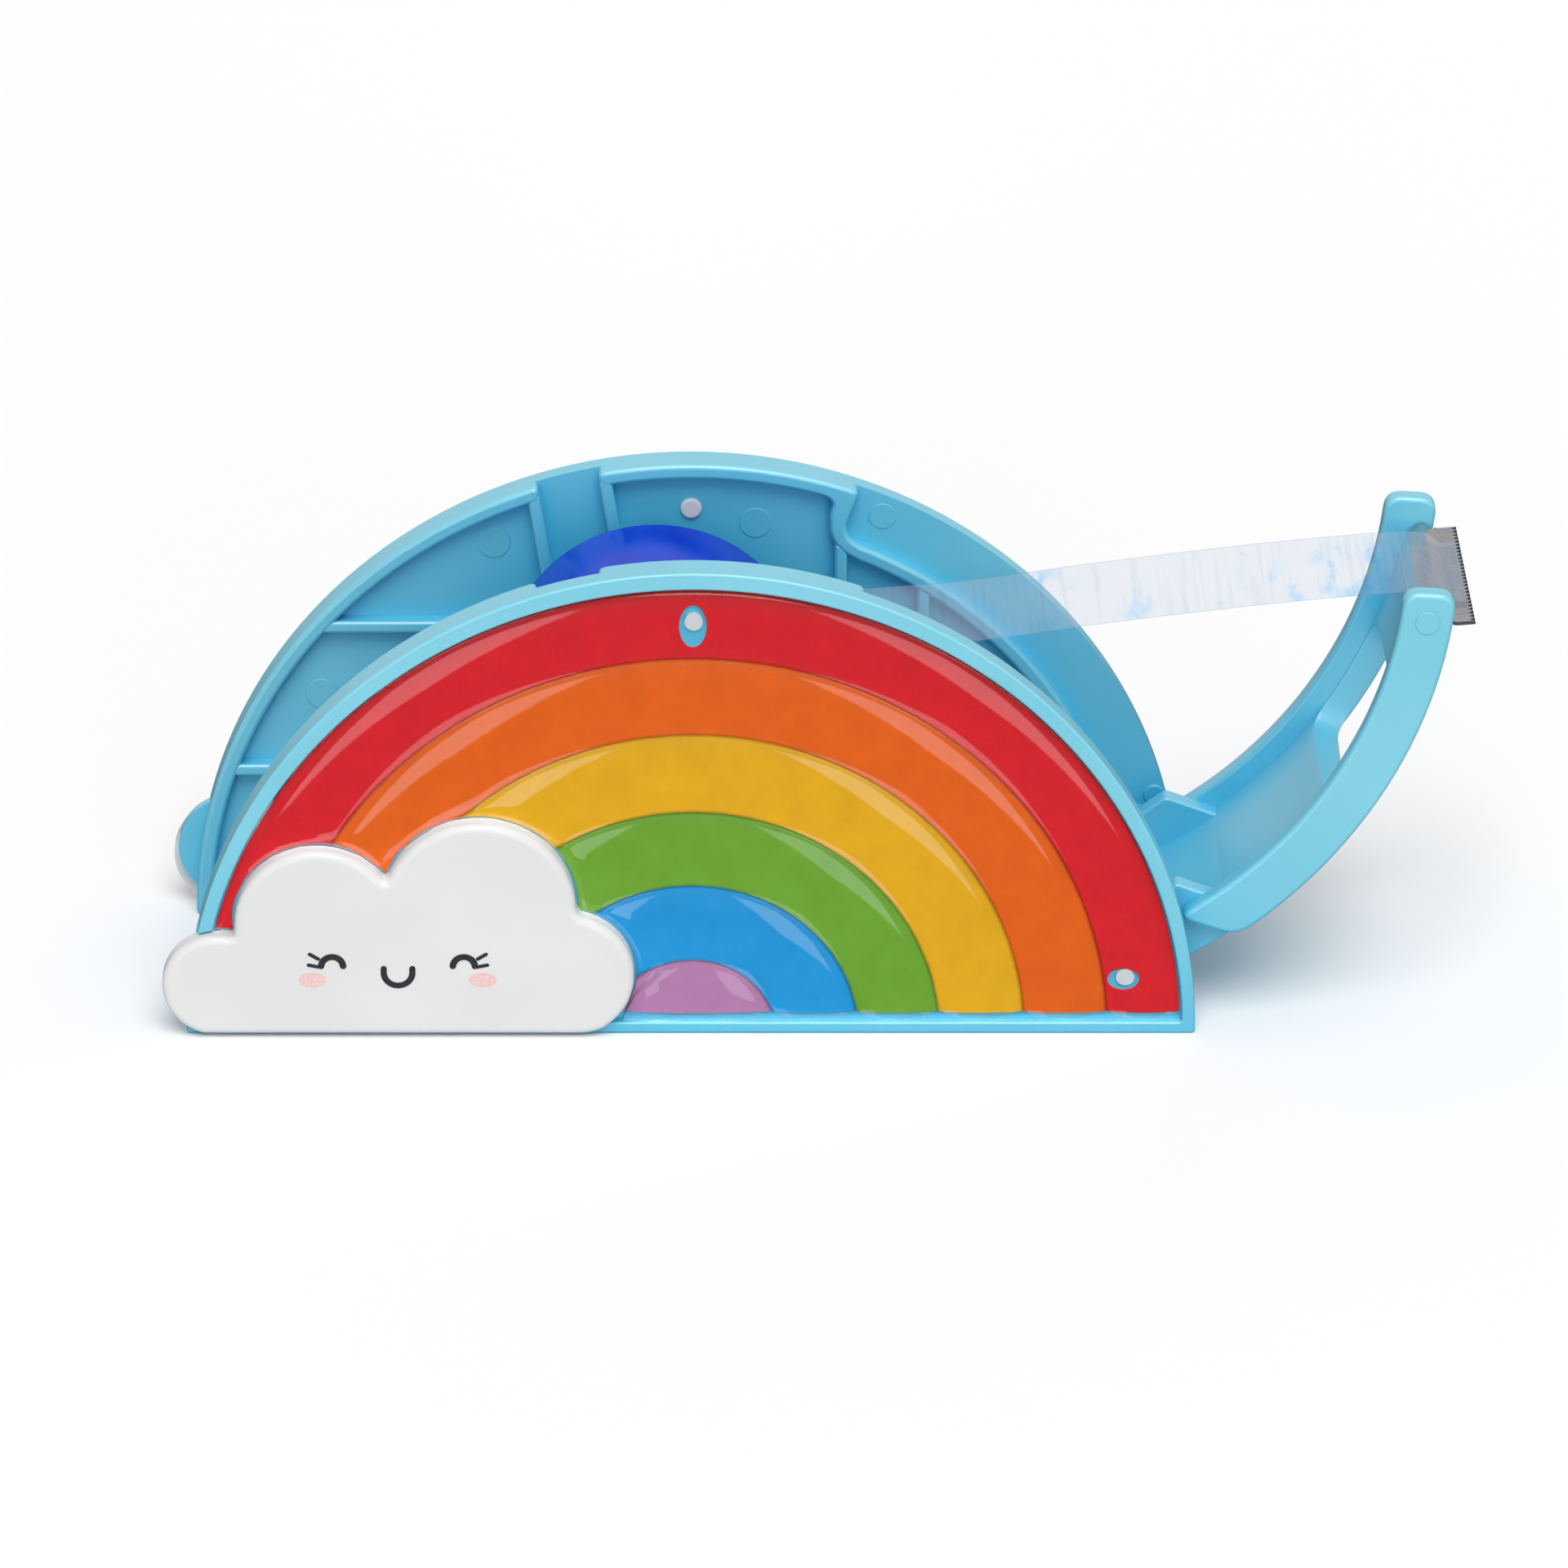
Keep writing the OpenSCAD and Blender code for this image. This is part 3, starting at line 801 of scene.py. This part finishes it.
def slot_walls():
    """The bent guide that carries the reel's stub axles, open at the top."""
    loop = []
    for half, sign in ((SLOT_HALF + RIB, -1), (SLOT_HALF, 1)):
        first = offset_path(SLOT, half * sign)
        last = offset_path(SLOT, -half * sign)[::-1]
        d = Vector(SLOT[1]) - Vector(SLOT[0])
        first[0] = on_circle(first[0], d, BODY_R - 1)
        last[-1] = on_circle(last[-1], d, BODY_R - 1)
        loop += first[:-1] + arc_between(REEL, half, first[-1], last[0], -sign)
        loop += last[1:]
    return soften(loop, 0.7)


def oval(c, rx, rz):
    return [(c[0] + rx * x, c[1] + rz * z) for x, z in ring((0, 0), 1, 40)]


def bar(x0, x1, z0, z1):
    """Rectangle."""
    return [(x0, z0), (x1, z0), (x1, z1), (x0, z1)]


def pill(c, half, r, tilt=0):
    """Rounded bar about c, half its straight length each way."""
    d = Vector(polar(half, tilt))
    a, b = Vector(c) - d, Vector(c) + d
    return arc(r, tilt - 90, tilt + 90, b, 15) + arc(r, tilt + 90, tilt + 270, a, 15)


def shell(side, place):
    """One side: border, panel, rim, guide slot, ribs, hinge boss and the ledge by the base."""
    b = Build(place)
    b.plate([border_loop()], -FACE_Y, -RECESS_Y, 0.3, 0, 4)
    b.plate([panel_loop(side)] + [ring(c, PIN_R + 0.05, 24) for c in PINS], -RECESS_Y, -PANEL_Y)
    for k, loop in enumerate(rim_loops()):
        b.plate([loop], -PANEL_Y, -RIM_Y - 0.01 * k, 0, 0.62, 4)
    # no two of these end at one depth, so none share a face where they cross
    ribs = [slot_walls(), bar(-46.6, -18.6, 39.1, 40.7), bar(-58.2, -8, 19.4, 21.0),
            bar(17.8, 19.4, 1.0, 51.2), bar(28.1, 29.7, 1.0, 46.0)]
    for k, loop in enumerate(ribs):
        b.plate([loop], -PANEL_Y - ROOT, -RIM_Y - 0.05 - 0.03 * k, 0, 0.5)
    b.plate([ring(PIVOT, 3.3), ring(PIVOT, 1.52, 32)], -PANEL_Y - ROOT, -RIM_Y - 0.03, 0, 0.4)
    b.plate([soften(bar(-58.9, 48.9, 0.0, 2.0), 0.4)], -PANEL_Y, -10.0, 0, 0.3)
    # round marks that the mould's ejectors leave on the inner face
    for c, r in (((-24.4, 50.6), 2.0), ((8.0, 53.4), 2.0), ((23.7, 54.3), 1.7), ((-46, 30), 2.0),
                 ((6, 10), 2.0), ((38, 26), 2.0)):
        b.plate([ring(c, r)], -PANEL_Y - 0.2, -PANEL_Y + 0.1, 0, 0.09)
    if side == "rear":
        # small moulded marks above the hinge
        for loop, proud in ((ring((58.4, 16.1), 1.3, 32), 0.3),
                            (pill((57.6, 13.8), 2.0, 0.35, -24), 0.3),
                            (pill((58.7, 12.4), 1.0, 0.5), 0.26)):
            b.plate([loop], -PANEL_Y - 0.2, -PANEL_Y + proud, 0, 0.12)
    finish_piece(b.object(f"{side}_shell_moulding", SKY), "housing", "sky_plastic", f"{side}_shell")


# ---- print, cover and cloud ----

def print_card(side, place):
    """Card under the cover, with an oval hole round each pin."""
    b = Build(place)
    holes = [oval((-0.1, 54.8), 1.68, 2.7), oval((53.1, 7.2), 1.9, 1.5)]
    loop = insert_loop(RECESS_R - 0.3, SILL + 1.2, 0.35)
    b.plate([loop] + holes, -RECESS_Y - CARD, -RECESS_Y)
    piece = b.object(f"{side}_rainbow_card", PRINT)
    finish_piece(piece, "housing", "rainbow_print", f"{side}_print")


def cloud_gap(x, z):
    """Distance from the cloud's outline."""
    return min(math.hypot(x - c[0], z - c[1]) - c[2] for c in LOBES)


def cover_end(r, base, gap):
    """Angle at which the clear cover stops on the left, at the cloud or the base line."""
    stop = 180 - start_angle(r, base)
    a = 60.0
    while a < stop:
        if cloud_gap(*polar(r, a, MIDDLE)) < gap:
            return a
        a += 0.2
    return stop


def dome_rise(x, z, share, innermost, base):
    """Height at a point of a band, as a share of its crown: domed across, rounded at its ends."""
    lean = max(2 * share - 1, 0) if innermost else abs(2 * share - 1)
    across = 0.75 * (1 - lean ** 2) + 0.25 * math.sqrt(max(1 - lean ** 5, 0))
    pull = 1.5 * (1 - math.sqrt(max(1 - lean ** 2, 0)))
    end = min(z - base - 0.15 - pull, cloud_gap(x, z) - 0.5 - 0.5 * pull)
    near = min(max(end / 2.0, 0), 1)
    return across * math.sqrt(1 - (1 - near) ** 2)


def cover_grid(y_back, y_sheet, crown, place):
    """Front and back of the clear cover, as rows of one radius running from right to left."""
    base, gap, groove = SILL + 0.1, 0.3, 0.1
    least = base - MIDDLE[1]
    # rows of (radius, share of the way across the band, whether it is the innermost band)
    rows = [(least + 0.04, 0.0, True)]
    for k, edge in enumerate(BAND_R):
        r0 = (BAND_R[k - 1] if k else 0.0) + groove
        r1 = min(edge, RECESS_R - 0.25) - groove
        for j in range(13):
            share = 0.5 - 0.5 * math.cos(math.pi * j / 12)
            r = r0 + (r1 - r0) * share
            if r > least + 0.1:
                rows.append((r, share, k == 0))
    rows.append((RECESS_R - 0.2, 1.0, False))
    # the points of a row lie closer together where the bands round off at their ends
    ends = [0.0, 0.12, 0.3, 0.5, 0.75, 1.05, 1.4, 1.8, 2.4, 3.2]
    inner = 84
    front, back = [], []
    for r, share, innermost in rows:
        a0, a1 = start_angle(r, base), cover_end(r, base, gap)
        length = r * math.radians(a1 - a0)
        reach = min(ends[-1], 0.4 * length)
        stops = [e / ends[-1] * reach for e in ends]
        middle = [reach + (length - 2 * reach) * i / inner for i in range(1, inner)]
        front.append([])
        back.append([])
        for s in stops + middle + [length - e for e in reversed(stops)]:
            x, z = polar(r, a0 + math.degrees(s / r), MIDDLE)
            rise = crown * dome_rise(x, z, share, innermost, base)
            front[-1].append(place(Vector((x, -y_sheet - rise, z))))
            back[-1].append(place(Vector((x, -y_back, z))))
    return front, back


def cover(side, place):
    """Clear cover moulded as six domed bands, with the staked pins that hold it."""
    y_back = RECESS_Y + CARD + 0.01
    y_sheet = y_back + 0.5
    front, back = cover_grid(y_back, y_sheet, COVER_Y - y_sheet, place)
    if place is straight:
        # the mirrored side has its rows the other way round already
        front, back = front[::-1], back[::-1]
    piece = sheet_solid(f"{side}_domed_cover", front, back, CLEAR, 50)
    finish_piece(piece, "housing", "clear_plastic", f"{side}_cover")
    b = Build(place)
    for c in PINS:
        b.plate([ring(c, PIN_R, 32)], -y_back + 0.02, -PANEL_Y + 0.05)
        b.plate([ring(c, PIN_R + 0.25, 32)], -PANEL_Y + 0.01, -PANEL_Y + 0.5, 0, 0.35)
    finish_piece(b.object(f"{side}_cover_pins", PIN), "housing", "clear_plastic")


def stroke_arc(c, r, a0, a1, w):
    """Arc-shaped pen stroke with round ends."""
    outer = arc(r + w / 2, a0, a1, c, 8)
    tip = arc(w / 2, a1, a1 + 180, polar(r, a1, c), 30)
    inner = arc(r - w / 2, a1, a0, c, 8)
    tail = arc(w / 2, a0 + 180, a0 + 360, polar(r, a0, c), 30)
    return outer + tip[1:-1] + inner + tail[1:-1]


def cloud(side, place):
    """Badge with two pegs through the panel, and the face printed on it."""
    b = Build(place)
    front = CLOUD_Y - 0.04
    b.plate([soften(cloud_loop(-0.01), 1.6)], -front, -RECESS_Y, 0.95, 0, 6)
    for c in ((-44, 13), (-25, 15)):
        b.plate([ring(c, 1.9, 24)], -RECESS_Y - 0.05, -PANEL_Y)
    piece = b.object(f"{side}_cloud_badge", WHITE)
    finish_piece(piece, "housing", "white_plastic", f"{side}_cloud")
    face = Build(place)
    # lashes and mouth ends lie a touch deeper than the strokes that they overlap
    depth, under = (-front - 0.03, -front + 0.2), (-front - 0.02, -front + 0.19)
    for x, out in ((-44.0, -1), (-27.9, 1)):
        face.plate([stroke_arc((x, 9.9), 1.35, 4, 176, 0.82)], *depth)
        for z, tilt in ((9.9, 12), (11.0, 32)):
            lean = tilt if out > 0 else 180 - tilt
            at = Vector((x + out * 1.75, z)) + Vector(polar(0.55, lean))
            face.plate([pill(at, 0.6, 0.24, lean)], *under)
    face.plate([stroke_arc((-35.95, 9.1), 1.75, 182, 358, 0.78)], *depth)
    for x in (-37.7, -34.2):
        face.plate([pill((x, 9.35), 0.3, 0.38, 90)], *under)
    finish_piece(face.object(f"{side}_cloud_face", INK), "housing", "white_plastic")
    cheeks = Build(place)
    for x in (-46.4, -25.6):
        cheeks.plate([oval((x, 8.1), 1.7, 1.0)], *depth)
    finish_piece(cheeks.object(f"{side}_cloud_cheeks", BLUSH), "housing", "white_plastic")


# ---- cutter arm ----

def arm_side_loop():
    """One side wall from the slanted step above the hinge to its rounded tip."""
    loop = arc(BODY_R, 19.2, ARM_END) + arc(ARM_RI, ARM_END, 14.4)
    return soften(loop, 2.2, steps=8)


def lug_loop():
    """Hinge ear: a round eye about the pin, carried up into the arm's floor by a web."""
    low = crossings((0, 0, BODY_R), (*PIVOT, LUG_R))[1]
    loop = arc(BODY_R, angle_of(low), 20.5) + [(55.6, 22.5), (54.6, 20.6), (50.4, 15.1)]
    return soften(loop + arc_between(PIVOT, LUG_R, polar(LUG_R, 200, PIVOT), low, 1)[:-1], 0.6)


def cast(loop, centre, direction):
    """Where a ray from the centre leaves an outline."""
    best = 1e9
    for p, q in zip(loop, loop[1:] + loop[:1]):
        p, e = Vector(p) - centre, Vector(q) - Vector(p)
        den = direction.x * e.y - direction.y * e.x
        if abs(den) > 1e-9:
            t = (p.x * e.y - p.y * e.x) / den
            s = (p.x * direction.y - p.y * direction.x) / den
            if t > 0 and -1e-6 <= s <= 1 + 1e-6:
                best = min(best, t)
    return centre + direction * best


def curved_frame(b, a0, a1, half, window, r0, r1, slope):
    """Arched floor between two angles, with a rounded window whose walls slope outwards."""
    wa0, wa1, wh = window
    degree = math.radians(1) * (r0 + r1) / 2    # length of a degree along the floor
    near = soften(bar(wa0 * degree, wa1 * degree, -wh, wh), 3.0, steps=6)
    wide = soften(bar(wa0 * degree - slope, wa1 * degree + slope, -wh - 0.35, wh + 0.35), 3.6,
                  steps=6)
    outer = bar(a0 * degree, a1 * degree, -half, half)
    centre = Vector(((wa0 + wa1) / 2 * degree, 0))
    turns = {math.atan2(y, x - centre.x) % (2 * math.pi) for x, y in outer}
    turns = sorted(turns | {2 * math.pi * i / 120 for i in range(120)})
    rays = [Vector((math.cos(t), math.sin(t))) for t in turns]
    lines = [[cast(loop, centre, ray) for loop in (near, wide, outer)] for ray in rays]
    out_to_in = (1.0, 0.75, 0.5, 0.25, 0.05)
    # rows of (share of the way to the sloped edge, share from there to the outer edge, radius)
    rows = [(1.0, t, r0) for t in out_to_in] + [(0.98, 0.0, r0 + 0.1), (0.9, 0.0, r0 + 0.4)]
    rows += [(0.5, 0.0, (r0 + r1) / 2), (0.08, 0.0, r1 - 0.25), (0.0, 0.015, r1 - 0.05)]
    rows += [(0.0, t, r1) for t in out_to_in[::-1]]
    n, base, points = len(turns), len(b.points), []
    for edge, share, r in rows:
        for inner, sloped, far in lines:
            q = inner.lerp(sloped, edge).lerp(far, share)
            x, z = polar(r, q.x / degree)
            points.append(b.place(Vector((x, q.y, z))))
    faces = [(i * n + j, i * n + (j + 1) % n, (i + 1) % len(rows) * n + (j + 1) % n,
              (i + 1) % len(rows) * n + j) for i in range(len(rows)) for j in range(n)]
    touching, normals = [[] for _ in points], []
    for face in faces:
        v = [points[i] for i in face]
        normals.append((v[2] - v[0]).cross(v[3] - v[1]).normalized())
        for i in face:
            touching[i].append(normals[-1])
    inward = b.place(Vector((0, 0, 0))) - points[0]
    flip = 1 if normals[0].dot(inward) > 0 else -1
    b.points += points
    for mine, face in zip(normals, faces):
        corners = []
        for i in face:
            like = [normal * flip for normal in touching[i] if normal.dot(mine) > 0.75]
            corners.append((base + i, sum(like, Vector()).normalized()))
        b.face(corners)


def arm():
    """Moulding: two side walls, two hinge ears, and the floor with its window and blade seat."""
    b = Build(opened)
    for s in (-1, 1):
        b.plate([arm_side_loop()], *sorted((s * ARM_IN, s * ARM_OUT)), 0.6, 0.6, 5)
        b.plate([lug_loop(), ring(PIVOT, 1.55, 32)], *sorted((s * LUG_IN, s * LUG_OUT)), 0.4, 0.4, 3)
        # round mark that the mould leaves on each ear
        mark = ring(polar(58.9, 65.6), 1.5, 32)
        b.plate([mark], *sorted((s * (ARM_OUT - 0.2), s * (ARM_OUT + 0.14))), 0.12, 0.12, 2)
    curved_frame(b, 20.0, 62.6, ARM_IN + 0.4, WINDOW, FLOOR_RI, FLOOR_RO, 1.0)
    low = arc(FLOOR_RO, 9.8, 21) + arc(FLOOR_RI, 21, 9.8)
    b.plate([soften(low, 0.5)], -13.2, 13.2)
    seat = [polar(58.2, 61.5)] + [polar(r, a - 0.5) for r, a in BLADE[:2]]
    seat += [polar(BODY_R - 0.05, BLADE[2][1] - 0.5), polar(BODY_R - 0.05, 61.5)]
    b.plate([soften(seat, 0.3)], -ARM_IN - 0.3, ARM_IN + 0.3)
    piece = b.object("arm_moulding", SKY)
    finish_piece(piece, "arm", "sky_plastic", "cutter_arm")


def nearest(points, target):
    return min(range(len(points)), key=lambda i: (Vector(points[i]) - target).length)


def blade_line():
    """Section of the blade with its bends rounded, thinned out where the teeth are."""
    path = [Vector(polar(r, a)) for r, a in BLADE]
    # closed far off, because soften takes a closed outline, and then opened again
    far = Vector((20, -60))
    loop = soften([*path, path[-1] + far, path[0] + far], 0.45)
    start = nearest(loop, path[0])
    loop = loop[start:] + loop[:start]
    line = [path[0]] + [Vector(p) for p in loop[1:nearest(loop, path[-1])]] + [path[-1]]
    line = [p for i, p in enumerate(line) if i == 0 or (p - line[i - 1]).length > 0.02]
    return [p for p in line[:-1] if (p - line[-1]).length > TOOTH_DEPTH + 0.15] + line[-1:]


def blade():
    """Stamped strip: heel, crest, valley and a row of teeth, narrower between the arm's walls."""
    line, crest = blade_line(), Vector(polar(*BLADE[2]))
    last = len(line) - 1
    columns = int(2 * BLADE_HALF / TOOTH_PITCH * 4)
    top, bottom = [], []
    for i, p in enumerate(line):
        ahead = (line[min(i + 1, last)] - line[max(i - 1, 0)]).normalized()
        side = Vector((-ahead.y, ahead.x)) * (BLADE_THICK / 2)
        wide = (p - crest).length <= 0.4 or i >= last - 2
        reach = 1.0 if wide else (ARM_IN - 0.3) / BLADE_HALF
        top.append([])
        bottom.append([])
        for j in range(columns + 1):
            y = -BLADE_HALF + 2 * BLADE_HALF * j / columns
            bite = TOOTH_DEPTH * (1 - abs(2 * (y / TOOTH_PITCH % 1.0) - 1)) if i == last else 0.0
            q = p - ahead * bite
            for rows, s in ((top, q + side), (bottom, q - side)):
                rows[-1].append(opened(Vector((s.x, y * reach, s.y))))
    piece = sheet_solid("toothed_blade", top, bottom, BLADE_STEEL, 28)
    finish_piece(piece, "arm", "blade_steel", "cutter_blade")


# ---- reel and tape ----

def wound_roll():
    """Roll of tape: flanks with uneven layers and slightly rounded rims."""
    b = Build()
    steps = 14
    flank = []
    for i in range(steps + 1):
        r = CORE_R + 0.02 + (ROLL_R - CORE_R - 0.02) * i / steps
        dip = 0.10 * (1 + math.sin(i * 2.4)) * (0.6 if 0 < i < steps else 0)
        flank.append((r, TAPE_HALF - dip))
    profile = [(r, -y) for r, y in flank] + flank[::-1]
    b.lathe(soften(profile, 0.25, turn=60), REEL, 144)
    finish_piece(b.object("wound_tape", ROLL), "reel", "tape_roll_blue", "tape_roll")


def core_tube():
    b = Build()
    half = TAPE_HALF - 0.05
    b.lathe(soften(bar(12.7, CORE_R, -half, half), 0.3), REEL, 128)
    finish_piece(b.object("core_tube", VIOLET), "reel", "core_violet", "tape_core")


def hub():
    """Spool that carries the core: drum, thin web, shoulders and stub axles, with six web ribs."""
    b = Build()
    shoulder = 13.4
    half = [(12.64, 9), (11, 9), (11, 2), (6, 2), (6, shoulder), (3.6, shoulder), (3.6, STUB_Y),
            (0.01, STUB_Y)]
    profile = [(r, -y) for r, y in half[::-1]] + half
    b.lathe(soften(profile, 0.35, steps=3), REEL, 128)
    for a in range(30, 390, 60):
        b.plate([pill(polar(8.5, a, REEL), 2.9, 0.5, a)], -8.2, 8.2, 0.2, 0.2, 2)
    finish_piece(b.object("spool", HUB), "reel", "hub_plastic", "reel_hub")


def ribbon(name, path, count, wave):
    """Length of film along a path, creased by wave(s, y), where s is the share of the way."""
    line = smooth_path(path, count)
    top, bottom = [], []
    for i, p in enumerate(line):
        ahead = (line[min(i + 1, count)] - line[max(i - 1, 0)]).normalized()
        side = Vector((-ahead.y, ahead.x))
        top.append([])
        bottom.append([])
        for j in range(13):
            y = -TAPE_HALF + 2 * TAPE_HALF * j / 12
            q = p + side * wave(i / count, y)
            for rows, t in ((top, FILM_THICK / 2), (bottom, -FILM_THICK / 2)):
                rows[-1].append((q.x + side.x * t, y, q.y + side.y * t))
    return sheet_solid(name, top, bottom, FILM, 60)


def tape():
    """The free strip from the roll to the blade's crest, and the end that is stuck to it."""
    crest = (88.3, 55.45)
    path = [(9.7, 50.3), (11.3, 48.9), (13.2, 47.8), (15.6, 47.35), (19, 47.4), (24, 47.8), (32, 48.5),
            (40, 49.6), (48, 50.85), (60, 52.5), (72, 54.0), (84, 55.2), crest]

    def wave(s, y):
        root = math.exp(-((s - 0.2) / 0.035) ** 2) * 0.12 * math.sin(s * 420 + 0.25 * y)
        far = math.exp(-((s - 0.62) / 0.06) ** 2) * 0.025 * math.sin(s * 190 + 0.12 * y)
        return root + far

    strip = ribbon("free_tape", path, 150, wave)
    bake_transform(strip)
    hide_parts("tape_strip")
    path = [crest, (90.3, 55.35), (91.3, 54.75), (92.3, 54.05), (94.1, 54.2)]
    end = ribbon("stuck_tape", path, 24, lambda s, y: 0)
    finish_piece(end, "arm", "tape_film", "tape_end")


def dress(node, material):
    """Gives a CAD node, whose shape is kept, its material."""
    slots = frame["nodes"][node].data.materials
    slots.clear()
    slots.append(material)


# ---- studio ----

class Sky(Paint):
    """The same node calls, on the world that lights the object."""

    def __init__(self, world):
        world.use_nodes = True
        self.tree = world.node_tree
        self.where = self.node("TexCoord").outputs["Generated"]


def softbox_sky():
    """Room lighter towards the top and the rear, with a softbox in front on either side."""
    world = bpy.data.worlds.new("studio")
    bpy.context.scene.world = world
    p = Sky(world)
    x, y, z = p.split()
    room = p.ramp(p.span(z, -0.2, 0.6),
                  [(0.0, (0.05, 0.05, 0.055, 1)), (1.0, (0.52, 0.52, 0.53, 1))])
    out = p.math("ABSOLUTE", p.math("ADD", x, -0.02))
    inner, outer = p.span(out, 0.18, 0.20), p.span(out, 0.46, 0.49, 1.0, 0.0)
    low, high = p.span(z, -0.22, -0.19), p.span(z, 0.32, 0.38, 1.0, 0.0)
    behind = p.math("MULTIPLY", p.span(y, 0.2, 0.6), p.span(z, -0.2, 0.1))
    room = p.mix(behind, room, (0.62, 0.62, 0.63, 1))
    box = p.span(y, -0.3, -0.2, 1.0, 0.0)
    for share in (inner, outer, low, high):
        box = p.math("MULTIPLY", box, share)
    p.put(p.mix(box, room, grey(3.0)), p.tree.nodes["Background"].inputs[0])


def studio():
    """Pale floor, soft lights and the camera at the photograph's angle."""
    corners = [(x, y, 0) for x, y in bar(-6 / MM, 6 / MM, -6 / MM, 10 / MM)]
    floor = mesh_object("floor", corners, [(0, 1, 2, 3)], floor_paint())
    # polished faces mirror the room instead, which keeps the bands deep in colour
    floor.visible_glossy = floor.visible_transmission = False

    bpy.context.scene.view_settings.view_transform = "Standard"
    softbox_sky()
    overhead = bpy.data.lights.new("overhead", "SUN")
    overhead.energy, overhead.angle = 2.05, math.radians(40)
    lamp = bpy.data.objects.new("overhead", overhead)
    lamp.rotation_euler = Vector((-0.08, 0.6, -1)).to_track_quat("-Z", "Y").to_euler()
    bpy.context.scene.collection.objects.link(lamp)

    forward = Vector((0.02085, 0.90119, -0.43292)).normalized()
    right = forward.cross(Vector((0, 0, 1))).normalized()
    up = right.cross(forward)
    roll = Matrix.Rotation(math.radians(-0.60), 3, forward)
    right, up = roll @ right, roll @ up
    data = bpy.data.cameras.new("camera")
    data.lens, data.sensor_width = 211.0, 36.0
    data.clip_start, data.clip_end = 0.05, 30
    camera = bpy.data.objects.new("camera", data)
    at = Vector((0.0115, 0.0001, 0.0251)) - forward * 1.1365
    frame_of = Matrix((right, up, -forward)).transposed().to_4x4()
    camera.matrix_world = Matrix.Translation(at) @ frame_of
    bpy.context.scene.collection.objects.link(camera)
    bpy.context.scene.camera = camera


for side, place in (("front", straight), ("rear", rear)):
    shell(side, place)
    print_card(side, place)
    cover(side, place)
    cloud(side, place)
arm()
blade()
wound_roll()
core_tube()
hub()
tape()
for node, material in (("base_tray", SKY), ("base_screws", STEEL), ("foot_pads", RUBBER),
                       ("cloud_screws", STEEL), ("hinge_pin", STEEL)):
    dress(node, material)
studio()
